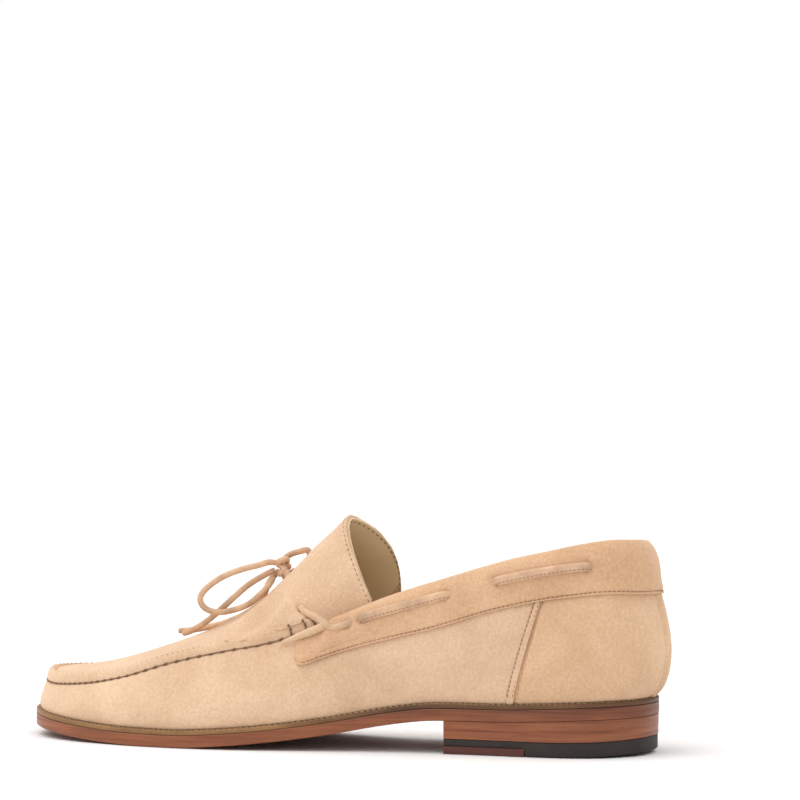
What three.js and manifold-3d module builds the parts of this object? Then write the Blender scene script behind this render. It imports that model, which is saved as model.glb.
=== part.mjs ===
// A laced suede moccasin for the left foot, in millimetres. The toe points along -Y, the outer side
// of the foot is +X and +Z is up. The origin is under the middle of the shoe, on the floor.
//
// Patterns are written on the sample size and graded to the three overall sizes below. A point of a
// pattern is given by its distance t from the back of the sole, its side x and its height z.
import * as THREE from 'three';
import Module from 'manifold-3d';
import { mergeVertices } from 'three/addons/utils/BufferGeometryUtils.js';

// Overall sizes, and the sizes that the patterns were drawn for.
const LENGTH = 292;
const BALL_WIDTH = 101;
const COLLAR_HEIGHT = 94.6;
const SAMPLE_LENGTH = 292;
const SAMPLE_WIDTH = 101;
const SAMPLE_HEIGHT = 94.6;

// Clearance that two touching pieces keep.
const GAP = 0.3;

// Bottom of the shoe.
const OUTSOLE_THICKNESS = 5.4;
const WELT_THICKNESS = 1.7;
const WELT_WIDTH = 9;
const WELT_STEP = 2.2;
const MARGIN_WIDTH = 12;
const INSOLE_INSET = 7.2;
const INSOLE_THICKNESS = 2;
const SOCK_THICKNESS = 1.2;
const HEEL_PAD_THICKNESS = 2.5;
const HEEL_PAD_LENGTH = 78;
const SHANK_LENGTH = 92;
const SHANK_WIDTH = 12;
const SHANK_THICKNESS = 1.1;
const SHANK_START = 70;

// Heel block.
const HEEL_LENGTH = 88;
const TOP_PIECE_THICKNESS = 6.6;
const INSERT_THICKNESS = 3.3;
const INSERT_LENGTH = 35;
const HEEL_TAPER = 1.2;
const NAIL_DIAMETER = 1.8;
const NAIL_HEAD_DIAMETER = 3.6;
const NAIL_HEAD_THICKNESS = 0.8;
const NAIL_BITE = 2.6;

// Upper leathers.
const SUEDE = 1.4;
const LINING = 1;
const STIFFENER = 1.2;
const COLLAR_BAND = 23;
const COLLAR_SKIN = 1.2;
const COLLAR_PUFF = 1.6;
const COLLAR_LIP = 4;

// Lace.
const LACE_WIDTH = 3.6;
const LACE_THICKNESS = 2.2;
const BOW_DIAMETER = 2.8;
const KNOT_RADIUS = 4.2;

// Stations round the shoe: 0 is the middle of the heel, TOE the tip of the toe, and 2 * TOE the heel
// again, by way of the outer side first.
const TOE = 17;
const REAR_SEAM = 4;
const COLLAR_FRONT = 9.2;

// One row for each station from heel to toe:
// sole: t, outer x, inner x; top line of the wall: t, outer x, inner x, outer z, inner z; fullness of
// the wall. The inner side is cut lower under the ankle.
const PATTERN = [
  [0, 0, 0, 6, 0, 0, 92.6, 92.6, 8.8],
  [3.4, 15, -15, 7.5, 10.5, -10.5, 93.3, 91.4, 8.4],
  [16, 28.6, -28.6, 14.5, 18, -18.4, 93.6, 90.2, 7],
  [34, 34, -32.6, 25, 22.4, -23, 92, 87.8, 5.6],
  [56, 34.2, -32.4, 38, 25.4, -26, 89.2, 84.8, 4.4],
  [78, 33.8, -30.5, 60, 27.2, -27.8, 84, 79.6, 3.4],
  [100, 35.2, -27.8, 86, 28, -28.2, 76, 72, 3],
  [122, 38.6, -28.2, 111, 28.8, -28.3, 68, 65, 2.8],
  [142, 43, -31.3, 132, 30.4, -28.3, 59.6, 58, 3.2],
  [160, 47.2, -36.5, 150, 33.5, -29.3, 52, 51.4, 3.6],
  [178, 50.4, -42.2, 169, 35.8, -32, 46, 46, 4],
  [200, 51.7, -47.5, 191, 37.9, -35.5, 41.6, 41.6, 4.3],
  [224, 49.6, -49.3, 214, 38.6, -37.6, 36.1, 36.1, 4],
  [246, 44.5, -47.3, 235, 36.9, -37.2, 30.2, 30.2, 3.2],
  [264, 37.5, -41.8, 254, 32.2, -34.8, 26, 26, 2.4],
  [279, 26.5, -33.2, 272, 23.8, -28.6, 23.4, 23.4, 1.6],
  [288.5, 11.5, -22, 283.3, 10.8, -19.8, 22.2, 22.2, 1.2],
  [292, -6, -6, 287.8, -5, -5, 21.7, 21.7, 1],
];

// Underside of the outsole: t, z.
const SOLE_PROFILE = [
  [0, 17], [20, 16.5], [41, 15.5], [60, 14.7], [86, 14.4], [97, 13.9], [115, 11.4], [138, 7.1],
  [160, 3.9], [181, 1.6], [203, 0.1], [216, 0], [230, 0.1], [248, 0.9], [265, 2.2], [280, 3.7],
  [292, 4.8],
];

// Tread of the heel: t, z. The back edge is bevelled.
const TREAD_PROFILE = [[0, 2.9], [6, 2.4], [14, 1.7], [27, 0.7], [42, 0], [43, 0], [60, 0], [88, 0]];

// Middle line of the apron and tongue, where each apron station crosses it: t, z.
const CROWN = [
  [266, 30.6], [265.3, 30.7], [261, 31.6], [250, 34.2], [234, 38.9], [214, 46], [196, 54],
  [184, 62.4], [173.5, 71.2], [166.5, 78.2], [158.5, 86.4], [150, 94], [142.8, 101],
];
// Sides of the tongue behind the apron seam: outer x, outer t, outer z, inner x, inner t, inner z.
const TONGUE_SIDES = [
  [27.4, 140.5, 51.5, -25.6, 138.5, 52],
  [25.3, 131, 51.5, -25.2, 129.2, 54.5],
  [24.6, 124.5, 53, -25, 124, 58],
  [24.4, 120.5, 55, -25, 121.5, 60],
];
const APRON_END = TOE - 9;
const TONGUE_SPLIT = 10.3;
const TONGUE_END = 12;

const wasm = await Module();
wasm.setup();

const gradeX = (x) => (x * BALL_WIDTH) / SAMPLE_WIDTH;
const gradeT = (t) => (t * LENGTH) / SAMPLE_LENGTH;
const gradeZ = (z) => (z * COLLAR_HEIGHT) / SAMPLE_HEIGHT;
const place = (x, t, z) => new THREE.Vector3(x, LENGTH / 2 - t, z);
const graded = (x, t, z) => place(gradeX(x), gradeT(t), gradeZ(z));

// Smooth curve through rows whose first number rises; gives the second number.
function profile(rows, scale) {
  const slope = (i) => {
    const a = rows[Math.max(i - 1, 0)];
    const b = rows[Math.min(i + 1, rows.length - 1)];
    return (b[1] - a[1]) / (b[0] - a[0]);
  };
  return (at) => {
    const t = Math.min(Math.max(at / scale, rows[0][0]), rows[rows.length - 1][0]);
    let i = 0;
    while (i < rows.length - 2 && rows[i + 1][0] < t) i += 1;
    const h = rows[i + 1][0] - rows[i][0];
    const s = (t - rows[i][0]) / h;
    const a = (1 + 2 * s) * (1 - s) * (1 - s);
    const b = s * (1 - s) * (1 - s);
    const c = s * s * (3 - 2 * s);
    const d = s * s * (s - 1);
    return a * rows[i][1] + b * h * slope(i) + c * rows[i + 1][1] + d * h * slope(i + 1);
  };
}

// Smooth line through points, each a row of numbers; closed lines wrap round.
function spline(rows, closed) {
  const last = rows.length - 1;
  const at = (i) => (closed ? rows[(i + rows.length) % rows.length] : rows[Math.min(Math.max(i, 0), last)]);
  return (k) => {
    const i = closed ? Math.floor(k) : Math.min(Math.floor(k), rows.length - 2);
    const s = k - i;
    const [a, b, c, d] = [at(i - 1), at(i), at(i + 1), at(i + 2)];
    return b.map((_, j) => 0.5 * (2 * b[j] + (c[j] - a[j]) * s
      + (2 * a[j] - 5 * b[j] + 4 * c[j] - d[j]) * s * s + (3 * b[j] - a[j] - 3 * c[j] + d[j]) * s * s * s));
  };
}

const ease = (s) => {
  const c = Math.min(Math.max(s, 0), 1);
  return c * c * (3 - 2 * c);
};

const soleHeight = profile(SOLE_PROFILE, LENGTH / SAMPLE_LENGTH);
const treadHeight = profile(TREAD_PROFILE, LENGTH / SAMPLE_LENGTH);

const outerRows = PATTERN.map((r) => [r[1], r[0], r[4], r[3], r[6], r[8]]);
const innerRows = PATTERN.map((r) => [r[2], r[0], r[5], r[3], r[7], r[8]]);
const around = spline([...outerRows, ...innerRows.slice(1, TOE).reverse()], true);

// Edge of the sole in plan at a station, moved in by inset.
function soleEdge(k, inset = 0) {
  const [x, t] = around(k);
  const [xa, ta] = around(k - 0.05);
  const [xb, tb] = around(k + 0.05);
  const along = new THREE.Vector2(gradeX(xb - xa), gradeT(ta - tb)).normalize();
  return new THREE.Vector2(gradeX(x) + along.y * inset, LENGTH / 2 - gradeT(t) - along.x * inset);
}

const backOf = (p) => LENGTH / 2 - p.y;

// Height of the welt's top above the underside of the sole.
const WELT_TOP = OUTSOLE_THICKNESS + GAP + WELT_THICKNESS;
const FEATHER = WELT_TOP + GAP;

function featherPoint(k, inset) {
  const p = soleEdge(k, inset);
  return new THREE.Vector3(p.x, p.y, soleHeight(backOf(p)) + FEATHER);
}

function topLine(k) {
  const [, , x, t, z] = around(k);
  return graded(x, t, z);
}

// Outer face of the upper at a station, rise from 0 at the welt to 1 at the top line.
function wall(k, rise) {
  const bottom = featherPoint(k, WELT_STEP);
  const top = topLine(k);
  const chord = top.clone().sub(bottom);
  const along = topLine(k + 0.05).sub(topLine(k - 0.05)).add(featherPoint(k + 0.05, WELT_STEP))
    .sub(featherPoint(k - 0.05, WELT_STEP));
  const out = new THREE.Vector3().crossVectors(chord, along).normalize();
  const fullness = around(k)[5];
  const swell = fullness * Math.sin(Math.PI * Math.max(rise, 0) ** 0.6);
  return bottom.addScaledVector(chord, rise).addScaledVector(out, swell);
}

const wallHeight = (k) => topLine(k).distanceTo(featherPoint(k, WELT_STEP));
const riseBelowTop = (k, drop) => 1 - drop / wallHeight(k);

// Direction out of the upper at a place on the wall.
function wallNormal(k, rise) {
  const along = wall(k + 0.05, rise).sub(wall(k - 0.05, rise));
  const up = wall(k, Math.min(rise + 0.03, 1)).sub(wall(k, Math.max(rise - 0.03, 0.001)));
  return new THREE.Vector3().crossVectors(up, along).normalize();
}

const onWall = (k, drop, out) => {
  const rise = riseBelowTop(k, Math.max(drop, 0));
  const p = wall(k, rise).addScaledVector(wallNormal(k, Math.min(rise, 0.98)), out);
  return drop < 0 ? p.add(new THREE.Vector3(0, 0, -drop)) : p;
};

// Indexed surface from a grid of points; triangles face the side where rows turn left from columns.
function gridSurface(columns, rows, at, wrap = false) {
  const points = [];
  for (let i = 0; i < columns; i += 1) {
    for (let j = 0; j < rows; j += 1) points.push(at(i, j));
  }
  const faces = [];
  const last = wrap ? columns : columns - 1;
  for (let i = 0; i < last; i += 1) {
    for (let j = 0; j < rows - 1; j += 1) {
      const a = i * rows + j;
      const b = ((i + 1) % columns) * rows + j;
      faces.push([a, b + 1, b], [a, a + 1, b + 1]);
    }
  }
  return merged(points, faces);
}

// The same surface with coincident points joined and collapsed triangles left out.
function merged(points, faces) {
  const seen = new Map();
  const kept = [];
  const index = points.map((p) => {
    const key = [p.x, p.y, p.z].map((c) => Math.round(c * 200)).join();
    if (!seen.has(key)) {
      seen.set(key, kept.length);
      kept.push(p);
    }
    return seen.get(key);
  });
  const real = faces.map((f) => f.map((i) => index[i]))
    .filter(([a, b, c]) => a !== b && b !== c && a !== c);
  return { points: kept, faces: real };
}

function geometryOf(points, faces) {
  const geometry = new THREE.BufferGeometry();
  const positions = points.flatMap((p) => p.toArray());
  geometry.setAttribute('position', new THREE.Float32BufferAttribute(positions, 3));
  geometry.setIndex(faces.flat());
  geometry.computeVertexNormals();
  return geometry;
}

// Closed shell between two offsets of a surface, out being the side its triangles face.
function shell({ points, faces }, inner, outer) {
  const normals = points.map(() => new THREE.Vector3());
  for (const [a, b, c] of faces) {
    const n = points[b].clone().sub(points[a]).cross(points[c].clone().sub(points[a]));
    for (const i of [a, b, c]) normals[i].add(n);
  }
  normals.forEach((n) => n.normalize());
  const depth = (d, i) => (typeof d === 'function' ? d(i) : d);
  const offset = (d) => points.map((p, i) => p.clone().addScaledVector(normals[i], depth(d, i)));
  const count = points.length;
  const edges = new Map();
  for (const f of faces) {
    f.forEach((a, i) => {
      const b = f[(i + 1) % 3];
      if (edges.has(`${b},${a}`)) edges.delete(`${b},${a}`);
      else edges.set(`${a},${b}`, [a, b]);
    });
  }
  const sides = [...edges.values()].flatMap(([a, b]) => [[b, a, a + count], [b, a + count, b + count]]);
  const back = faces.map(([a, b, c]) => [a + count, c + count, b + count]);
  return geometryOf([...offset(outer), ...offset(inner)], [...faces, ...back, ...sides]);
}

// Loft whose closed sections are rings of points; the ends are closed by fans, or it wraps.
function loft(rings, wrap = false) {
  const n = rings[0].length;
  const faces = [];
  const last = wrap ? rings.length : rings.length - 1;
  for (let i = 0; i < last; i += 1) {
    for (let j = 0; j < n; j += 1) {
      const a = i * n + j;
      const b = ((i + 1) % rings.length) * n + j;
      const c = ((i + 1) % rings.length) * n + ((j + 1) % n);
      const d = i * n + ((j + 1) % n);
      faces.push([a, b, c], [a, c, d]);
    }
  }
  if (!wrap) {
    const end = (rings.length - 1) * n;
    for (let j = 1; j < n - 1; j += 1) {
      faces.push([0, j, j + 1], [end, end + j + 1, end + j]);
    }
  }
  return geometryOf(rings.flat(), faces);
}

const solidOf = (geometry) => {
  const bare = new THREE.BufferGeometry();
  bare.setAttribute('position', geometry.getAttribute('position').clone());
  bare.setIndex(geometry.index ? geometry.index.clone() : null);
  const welded = mergeVertices(bare, 1e-3);
  const mesh = new wasm.Mesh({
    numProp: 3,
    vertProperties: new Float32Array(welded.getAttribute('position').array),
    triVerts: new Uint32Array(welded.index.array),
  });
  return new wasm.Manifold(mesh);
};

const geometryFrom = (solid) => {
  const mesh = solid.getMesh();
  const geometry = new THREE.BufferGeometry();
  const positions = new Float32Array((mesh.vertProperties.length / mesh.numProp) * 3);
  for (let i = 0; i < positions.length / 3; i += 1) {
    for (let j = 0; j < 3; j += 1) positions[i * 3 + j] = mesh.vertProperties[i * mesh.numProp + j];
  }
  geometry.setAttribute('position', new THREE.Float32BufferAttribute(positions, 3));
  geometry.setIndex([...mesh.triVerts]);
  geometry.computeVertexNormals();
  return geometry;
};

const cut = (geometry, ...tools) => geometryFrom(
  tools.reduce((rest, tool) => rest.subtract(solidOf(tool)), solidOf(geometry)),
);

// Evenly spaced numbers between two limits.
const steps = (from, to, count) => Array.from(
  { length: count + 1 }, (_, i) => from + ((to - from) * i) / count,
);

// Flat-lying piece between two heights, cut to the sole's outline less inset. Each crossing of the
// shoe is a pair of edge points, one on each side.
function soleLayer(stations, inset, low, high) {
  const sides = stations.map((k) => [soleEdge(k, inset), soleEdge(2 * TOE - k, inset)]);
  const rings = sides.map(([p, q]) => {
    const [pt, qt] = [backOf(p), backOf(q)];
    return [
      new THREE.Vector3(p.x, p.y, low(pt)), new THREE.Vector3(p.x, p.y, high(pt)),
      new THREE.Vector3(q.x, q.y, high(qt)), new THREE.Vector3(q.x, q.y, low(qt)),
    ];
  });
  const quads = [];
  for (let i = 0; i < rings.length - 1; i += 1) {
    for (let j = 0; j < 4; j += 1) {
      const a = i * 4 + j;
      const b = (i + 1) * 4 + j;
      const c = (i + 1) * 4 + ((j + 1) % 4);
      const d = i * 4 + ((j + 1) % 4);
      quads.push([a, c, b], [a, d, c]);
    }
  }
  const end = (rings.length - 1) * 4;
  const ends = [[0, 2, 1], [0, 3, 2], [end, end + 1, end + 2], [end, end + 2, end + 3]];
  const { points, faces } = merged(rings.flat(), [...quads, ...ends]);
  return geometryOf(points, faces);
}

const above = (rise) => (t) => soleHeight(t) + rise;
const EDGE_START = 0.12;
const WHOLE = steps(EDGE_START, TOE - EDGE_START, 32);

// Station of the outer edge at a distance from the heel.
function stationAt(distance) {
  let [low, high] = [0, TOE];
  for (let i = 0; i < 30; i += 1) {
    const middle = (low + high) / 2;
    if (gradeT(around(middle)[1]) < distance) low = middle;
    else high = middle;
  }
  return low;
}

const nailPlaces = [[0, 14], [20, 34], [-20, 34], [22, 70], [-22, 70]]
  .map(([x, t]) => [gradeX(x), gradeT(t)]);

const NAIL_TOP = OUTSOLE_THICKNESS - NAIL_HEAD_THICKNESS;

function nailTool(x, t, clearance) {
  const low = TOP_PIECE_THICKNESS - NAIL_BITE;
  const high = soleHeight(t) + NAIL_TOP;
  const stem = new THREE.CylinderGeometry(NAIL_DIAMETER / 2 + clearance, NAIL_DIAMETER / 2 + clearance,
    high - low + 2 * clearance, 10);
  const head = new THREE.CylinderGeometry(NAIL_HEAD_DIAMETER / 2 + clearance,
    NAIL_HEAD_DIAMETER / 2 + clearance, NAIL_HEAD_THICKNESS + 4 * clearance, 10);
  for (const g of [stem, head]) g.rotateX(Math.PI / 2);
  const y = LENGTH / 2 - t;
  stem.translate(x, y, (high + low) / 2);
  head.translate(x, y, high + NAIL_HEAD_THICKNESS / 2 + clearance);
  return geometryFrom(solidOf(stem).add(solidOf(head)));
}

const nailHoles = nailPlaces.map(([x, t]) => nailTool(x, t, GAP));

function outsole() {
  return cut(soleLayer(WHOLE, 0, above(0), above(OUTSOLE_THICKNESS)), ...nailHoles);
}

function welt() {
  const rings = steps(0, 2 * TOE, 68).slice(0, -1).map((k) => [0, WELT_WIDTH].flatMap((inset) => {
    const p = soleEdge(k, inset);
    const z = soleHeight(backOf(p)) + OUTSOLE_THICKNESS + GAP;
    const pair = [new THREE.Vector3(p.x, p.y, z), new THREE.Vector3(p.x, p.y, z + WELT_THICKNESS)];
    return inset ? pair.reverse() : pair;
  }));
  return loft(rings.map((r) => r.reverse()), true);
}

function corkFiller() {
  const low = OUTSOLE_THICKNESS + GAP;
  return soleLayer(WHOLE, WELT_WIDTH + GAP, above(low), above(low + WELT_THICKNESS));
}

function shank() {
  const low = FEATHER;
  const [x0, x1] = [-SHANK_WIDTH / 2, SHANK_WIDTH / 2];
  const rings = steps(SHANK_START, SHANK_START + SHANK_LENGTH, 14).map((t) => {
    const z = soleHeight(t) + low;
    const top = z + SHANK_THICKNESS;
    return [place(x0, t, z), place(x0, t, top), place(x1, t, top), place(x1, t, z)];
  });
  return loft(rings);
}

const INSOLE_LOW = FEATHER + SUEDE + GAP;
const INSOLE_TOP = INSOLE_LOW + INSOLE_THICKNESS;
const PAD_LOW = INSOLE_TOP + GAP;

function insoleBoard() {
  return soleLayer(WHOLE, INSOLE_INSET, above(INSOLE_LOW), above(INSOLE_TOP));
}

// The heel pad thins to its edge thickness at the front.
const PAD_EDGE = 0.5;
const PAD_INSET = INSOLE_INSET + 2;
const PAD_SLOPE_START = 0.45;
function padHeight(t) {
  const slope = (t / HEEL_PAD_LENGTH - PAD_SLOPE_START) / (1 - PAD_SLOPE_START);
  return PAD_EDGE + HEEL_PAD_THICKNESS * (1 - ease(slope));
}

function heelPad() {
  const stations = steps(EDGE_START, stationAt(HEEL_PAD_LENGTH), 12);
  return soleLayer(stations, PAD_INSET, above(PAD_LOW), (t) => soleHeight(t) + PAD_LOW + padHeight(t));
}

// The sock lies over the pad and comes down to the board in front of it.
const SOCK_INSET = INSOLE_INSET + 0.9;
const SOCK_STEP_START = HEEL_PAD_LENGTH + 2;
const SOCK_STEP_LENGTH = 12;
function sockLow(t) {
  const step = 1 - ease((t - SOCK_STEP_START) / SOCK_STEP_LENGTH);
  const lift = t < SOCK_STEP_START ? padHeight(t) + GAP : (PAD_EDGE + GAP) * step;
  return soleHeight(t) + PAD_LOW + lift;
}

const sockLiner = () => soleLayer(WHOLE, SOCK_INSET, sockLow, (t) => sockLow(t) + SOCK_THICKNESS);

// Heel block: two leather lifts over the rubber top piece, all cut to the heel of the sole.
const BREAST = stationAt(HEEL_LENGTH);
const heelStations = steps(EDGE_START, BREAST, 14);
const topPieceTop = (t) => TOP_PIECE_THICKNESS + treadHeight(t);
const blockTop = (t) => soleHeight(t) - GAP;
const liftSplit = (t) => (topPieceTop(t) + GAP + blockTop(t)) / 2;
const LIFT_INSET = 0.3;

function upperLift() {
  const whole = soleLayer(heelStations, LIFT_INSET, (t) => liftSplit(t) + GAP / 2, blockTop);
  return cut(whole, ...nailHoles);
}

function lowerLift() {
  const whole = soleLayer(heelStations, 2 * LIFT_INSET, (t) => topPieceTop(t) + GAP,
    (t) => liftSplit(t) - GAP / 2);
  return cut(whole, ...nailHoles);
}

const INSERT_BACK = HEEL_LENGTH - INSERT_LENGTH;

function topPiece() {
  const whole = soleLayer(heelStations, HEEL_TAPER, treadHeight, topPieceTop);
  const notch = new THREE.BoxGeometry(2 * BALL_WIDTH, 2 * INSERT_LENGTH, 2 * (INSERT_THICKNESS + GAP));
  notch.translate(0, LENGTH / 2 - INSERT_BACK - INSERT_LENGTH + GAP, 0);
  return cut(whole, notch, ...nailHoles);
}

function heelInsert() {
  const stations = steps(stationAt(INSERT_BACK), BREAST, 6);
  return soleLayer(stations, HEEL_TAPER, () => 0, () => INSERT_THICKNESS);
}

// Rises at which every layer of the wall has its rows, closer where the wall turns in to the welt.
const RISES = [0.012, 0.06, 0.14, 0.26, 0.42, 0.6, 0.8, 1];
const clamp = (value, low, high) => Math.min(Math.max(value, low), high);

// Distance inside the wall's foot where the suede has turned flat.
const TURN = 1.2;

// Upper panel between two stations. The wall is cut between its lasting margin, turned in under the
// insole, and a top edge given as a drop below the top line.
function panel(from, to, count, drop, inner, outer) {
  const stations = steps(from, to, count);
  const margin = [WELT_STEP + MARGIN_WIDTH, WELT_STEP + TURN];
  const surface = gridSurface(stations.length, RISES.length + margin.length, (i, j) => {
    const k = stations[i];
    if (j < margin.length) return featherPoint(k, margin[j]);
    return wall(k, Math.min(RISES[j - margin.length], riseBelowTop(k, drop(k))));
  });
  return shell(surface, inner, outer);
}

// Same wall without the lasting margin.
function liningPanel(from, to, count, drop, depth, thickness) {
  const stations = steps(from, to, count);
  const surface = gridSurface(stations.length, RISES.length, (i, j) => {
    const k = stations[i];
    const p = wall(k, clamp(RISES[j], LINING_FOOT / wallHeight(k), riseBelowTop(k, drop(k))));
    p.depth = depth(k);
    return p;
  });
  const deep = (i) => -surface.points[i].depth;
  return shell(surface, (i) => deep(i) - thickness, deep);
}

const halfStation = (k) => Math.min(k, 2 * TOE - k);

// How far below the top line the suede stops: at the seam in front, under the collar behind.
function suedeDrop(k) {
  const s = halfStation((k + 2 * TOE) % (2 * TOE));
  const tunnel = 15.5;
  const shoulder = 6;
  if (s > 9.25) return GAP;
  if (s > 8.9) return GAP + (shoulder - GAP) * (1 - ease((s - 8.9) / 0.35));
  return shoulder + (tunnel - shoulder) * (1 - ease((s - 7.8) / 1.1));
}

const SEAM_GAP = 0.018;

function vamp() {
  return panel(REAR_SEAM + SEAM_GAP, 2 * TOE - REAR_SEAM - SEAM_GAP, 52, suedeDrop, -SUEDE, 0);
}

function quarter(side) {
  const [a, b] = [SEAM_GAP, REAR_SEAM];
  return side > 0 ? panel(a, b, 8, suedeDrop, -SUEDE, 0) : panel(-b, -a, 8, suedeDrop, -SUEDE, 0);
}

// The lining lies deeper where a stiffener stands between it and the suede.
function stiffened(k) {
  const s = halfStation((k + 2 * TOE) % (2 * TOE));
  return Math.max(1 - ease((s - 5.2) / 1), ease((s - 13.6) / 1));
}
const liningDepth = (k) => SUEDE + GAP + (STIFFENER + GAP) * stiffened(k);

const LINING_FOOT = 3.4;
const LINING_SPLIT = 8;
const LIP_LAP = 1.2;
const SEAM_CLEARANCE = 2.2;
const SUEDE_TUCK = 8.5;

function quarterLining() {
  const drop = () => COLLAR_LIP + LIP_LAP;
  return liningPanel(-LINING_SPLIT, LINING_SPLIT, 32, drop, liningDepth, LINING);
}

function vampLining() {
  const drop = (k) => {
    const behind = 1 - ease((halfStation(k) - 8.9) / 0.7);
    return SEAM_CLEARANCE + (SUEDE_TUCK - SEAM_CLEARANCE) * behind;
  };
  const start = LINING_SPLIT + SEAM_GAP * 2;
  return liningPanel(start, 2 * TOE - start, 36, drop, liningDepth, LINING);
}

// Stiffeners of the heel and the toe, between the suede and the lining.
const stiffenerDepth = () => SUEDE + GAP;

function counter() {
  const drop = (k) => 26 + 12 * ease((Math.abs(k) - 2.5) / 2);
  return liningPanel(-5, 5, 20, drop, stiffenerDepth, STIFFENER);
}

const toePuff = () => liningPanel(15, 2 * TOE - 15, 8, () => 4, stiffenerDepth, STIFFENER);

// Collar: a folded band with the lace's tunnel in it, sewn over the top of the quarters. Each
// section runs down the outside, back up, over the top line and down inside to a short lip.
const WING_START = 8.35;
const WING_BLEND = 0.4;
const WING_LEAN = 0.013;
const BAND_NARROWING = 4.5;

function collarSection(k) {
  const s = Math.abs(k);
  const flat = ease((s - WING_START) / WING_BLEND);
  const band = COLLAR_BAND - BAND_NARROWING * ease((s - 5.5) / 3);
  const low = GAP;
  const high = GAP + COLLAR_SKIN;
  const puff = COLLAR_PUFF * (1 - flat);
  const roll = [
    [band, low], [band, high], [band - 7, high], [13, high + puff * 0.7], [8.6, high + puff],
    [3.6, high + puff * 0.85], [0.3, high + 0.2], [-1.1, 0.6], [-1.1, -1.2], [0.4, -2.9],
    [COLLAR_LIP, -2.9], [COLLAR_LIP, -1.75], [1, -1.75], [0.4, -0.2], [3, low + puff * 0.75],
    [8, low + puff], [13, low + puff * 0.7], [band - 6, low],
  ];
  const wing = [
    [band, low], [band, high], [band - 4, high], [band - 6, high], [band - 8, high],
    [5.4, high], [4.4, high], [3.6, high], [3.3, high - 0.2], [3, high - 0.4],
    [3, low + 0.6], [3, low + 0.4], [3.2, low + 0.2], [3.4, low], [4.4, low],
    [5.4, low], [band - 8, low], [band - 6, low],
  ];
  return roll.map(([drop, out], i) => {
    const d = drop + (wing[i][0] - drop) * flat;
    const n = out + (wing[i][1] - out) * flat;
    return onWall(k - Math.sign(k) * flat * WING_LEAN * d, d, n);
  });
}

// Held lace: station, drop below the top line and place out from the wall, from the heel forward.
const LACE_IN = 0.1;
const LACE_OUT = GAP + COLLAR_PUFF + COLLAR_SKIN + GAP + LACE_THICKNESS / 2 + 0.2;
const LACE_RUN = [
  [0, 10.4, LACE_IN], [0.8, 10.4, LACE_IN], [1.6, 10.5, LACE_IN], [2.3, 10.6, LACE_IN],
  [2.62, 10.6, 2.1], [2.95, 10.4, LACE_OUT], [3.5, 10, LACE_OUT], [4.2, 9.4, LACE_OUT],
  [4.75, 9.1, LACE_OUT], [5.06, 8.9, 2.1], [5.38, 8.7, LACE_IN], [5.62, 8.5, LACE_IN],
  [5.88, 8.3, 2.1], [6.14, 8.1, LACE_OUT], [6.6, 7.8, LACE_OUT], [7.1, 7.2, LACE_OUT],
  [7.38, 6.8, LACE_OUT], [7.6, 6.4, 2.1], [7.8, 6, 0.9],
];
// From the last slot over the rim to the hole in the tongue, under it and out at the middle.
const LACE_FRONT = [
  [31.6, 134.6, 55.6], [34.4, 140, 56.8], [34, 145, 58.4], [31.2, 150.4, 60.8],
  [27.8, 155.2, 62.6], [24, 158, 61], [19.6, 160.4, 62.6], [14, 163.4, 65.6],
  [9, 166.2, 68.4], [6.4, 168.6, 72], [5, 170.8, 75.6],
];

const INNER_NARROWER = 0.93;

function laceRoute() {
  const side = (sign) => {
    const run = LACE_RUN.map(([k, d, n]) => onWall(sign * k, d, n));
    const front = LACE_FRONT.map(([x, t, z]) => (sign > 0 ? graded(x, t, z)
      : graded(-x * INNER_NARROWER, t + 1, z)));
    return [...run, ...front];
  };
  const outer = side(1);
  const inner = side(-1);
  return [...inner.reverse(), ...outer.slice(1)];
}

// Flat oval cord along a line, its width kept up the wall.
function ovalCord(points, width, thickness, count) {
  const curve = new THREE.CatmullRomCurve3(points, false, 'centripetal');
  const rings = steps(0, 1, count).map((s) => {
    const p = curve.getPointAt(s);
    const along = curve.getTangentAt(s);
    const across = new THREE.Vector3(p.x, 0.25 * p.y, 0);
    across.addScaledVector(along, -across.dot(along)).normalize();
    const up = new THREE.Vector3().crossVectors(along, across).normalize();
    return steps(0, 2 * Math.PI, 8).slice(0, -1).map((a) => p.clone()
      .addScaledVector(up, (width / 2) * Math.cos(a))
      .addScaledVector(across, (thickness / 2) * Math.sin(a)));
  });
  return loft(rings);
}

const LACE_STEPS = 80;
const SLOT_CLEARANCE = 2 * GAP + 0.4;
const heldLace = () => ovalCord(laceRoute(), LACE_WIDTH, LACE_THICKNESS, LACE_STEPS);
const laceClearance = () => ovalCord(laceRoute(), LACE_WIDTH + SLOT_CLEARANCE,
  LACE_THICKNESS + SLOT_CLEARANCE, LACE_STEPS);

function collar() {
  const rings = steps(-COLLAR_FRONT, COLLAR_FRONT, 40).map((k) => collarSection(k));
  return cut(loft(rings.map((r) => r.reverse())), laceClearance());
}

// Apron and tongue: one sheet over the foot. Ribs run from the seam, or the tongue's side edge, up
// to the crown line. In front of the first crown point they fan round the toe.
const crownLine = spline(CROWN, false);
function sheetEdge(s, side) {
  const k = side > 0 ? TOE - s : TOE + s;
  if (s <= APRON_END) return topLine(k);
  const rows = [10, 9].map((q) => {
    const p = topLine(side > 0 ? q : 2 * TOE - q);
    return [p.x, p.y, p.z];
  });
  for (const r of TONGUE_SIDES) {
    const p = side > 0 ? graded(r[0], r[1], r[2]) : graded(r[3], r[4], r[5]);
    rows.push([p.x, p.y, p.z]);
  }
  return new THREE.Vector3(...spline(rows, false)(s - APRON_END + 1));
}

// Turned-up rim of the apron along the seam: distance in from the seam, height above it.
const RIM_STEPS = [[0, GAP], [0.5, 2.2], [1.6, 3.6], [3, 3.4], [4.4, 3]];
const SHEET_ROWS = 11;

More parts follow.
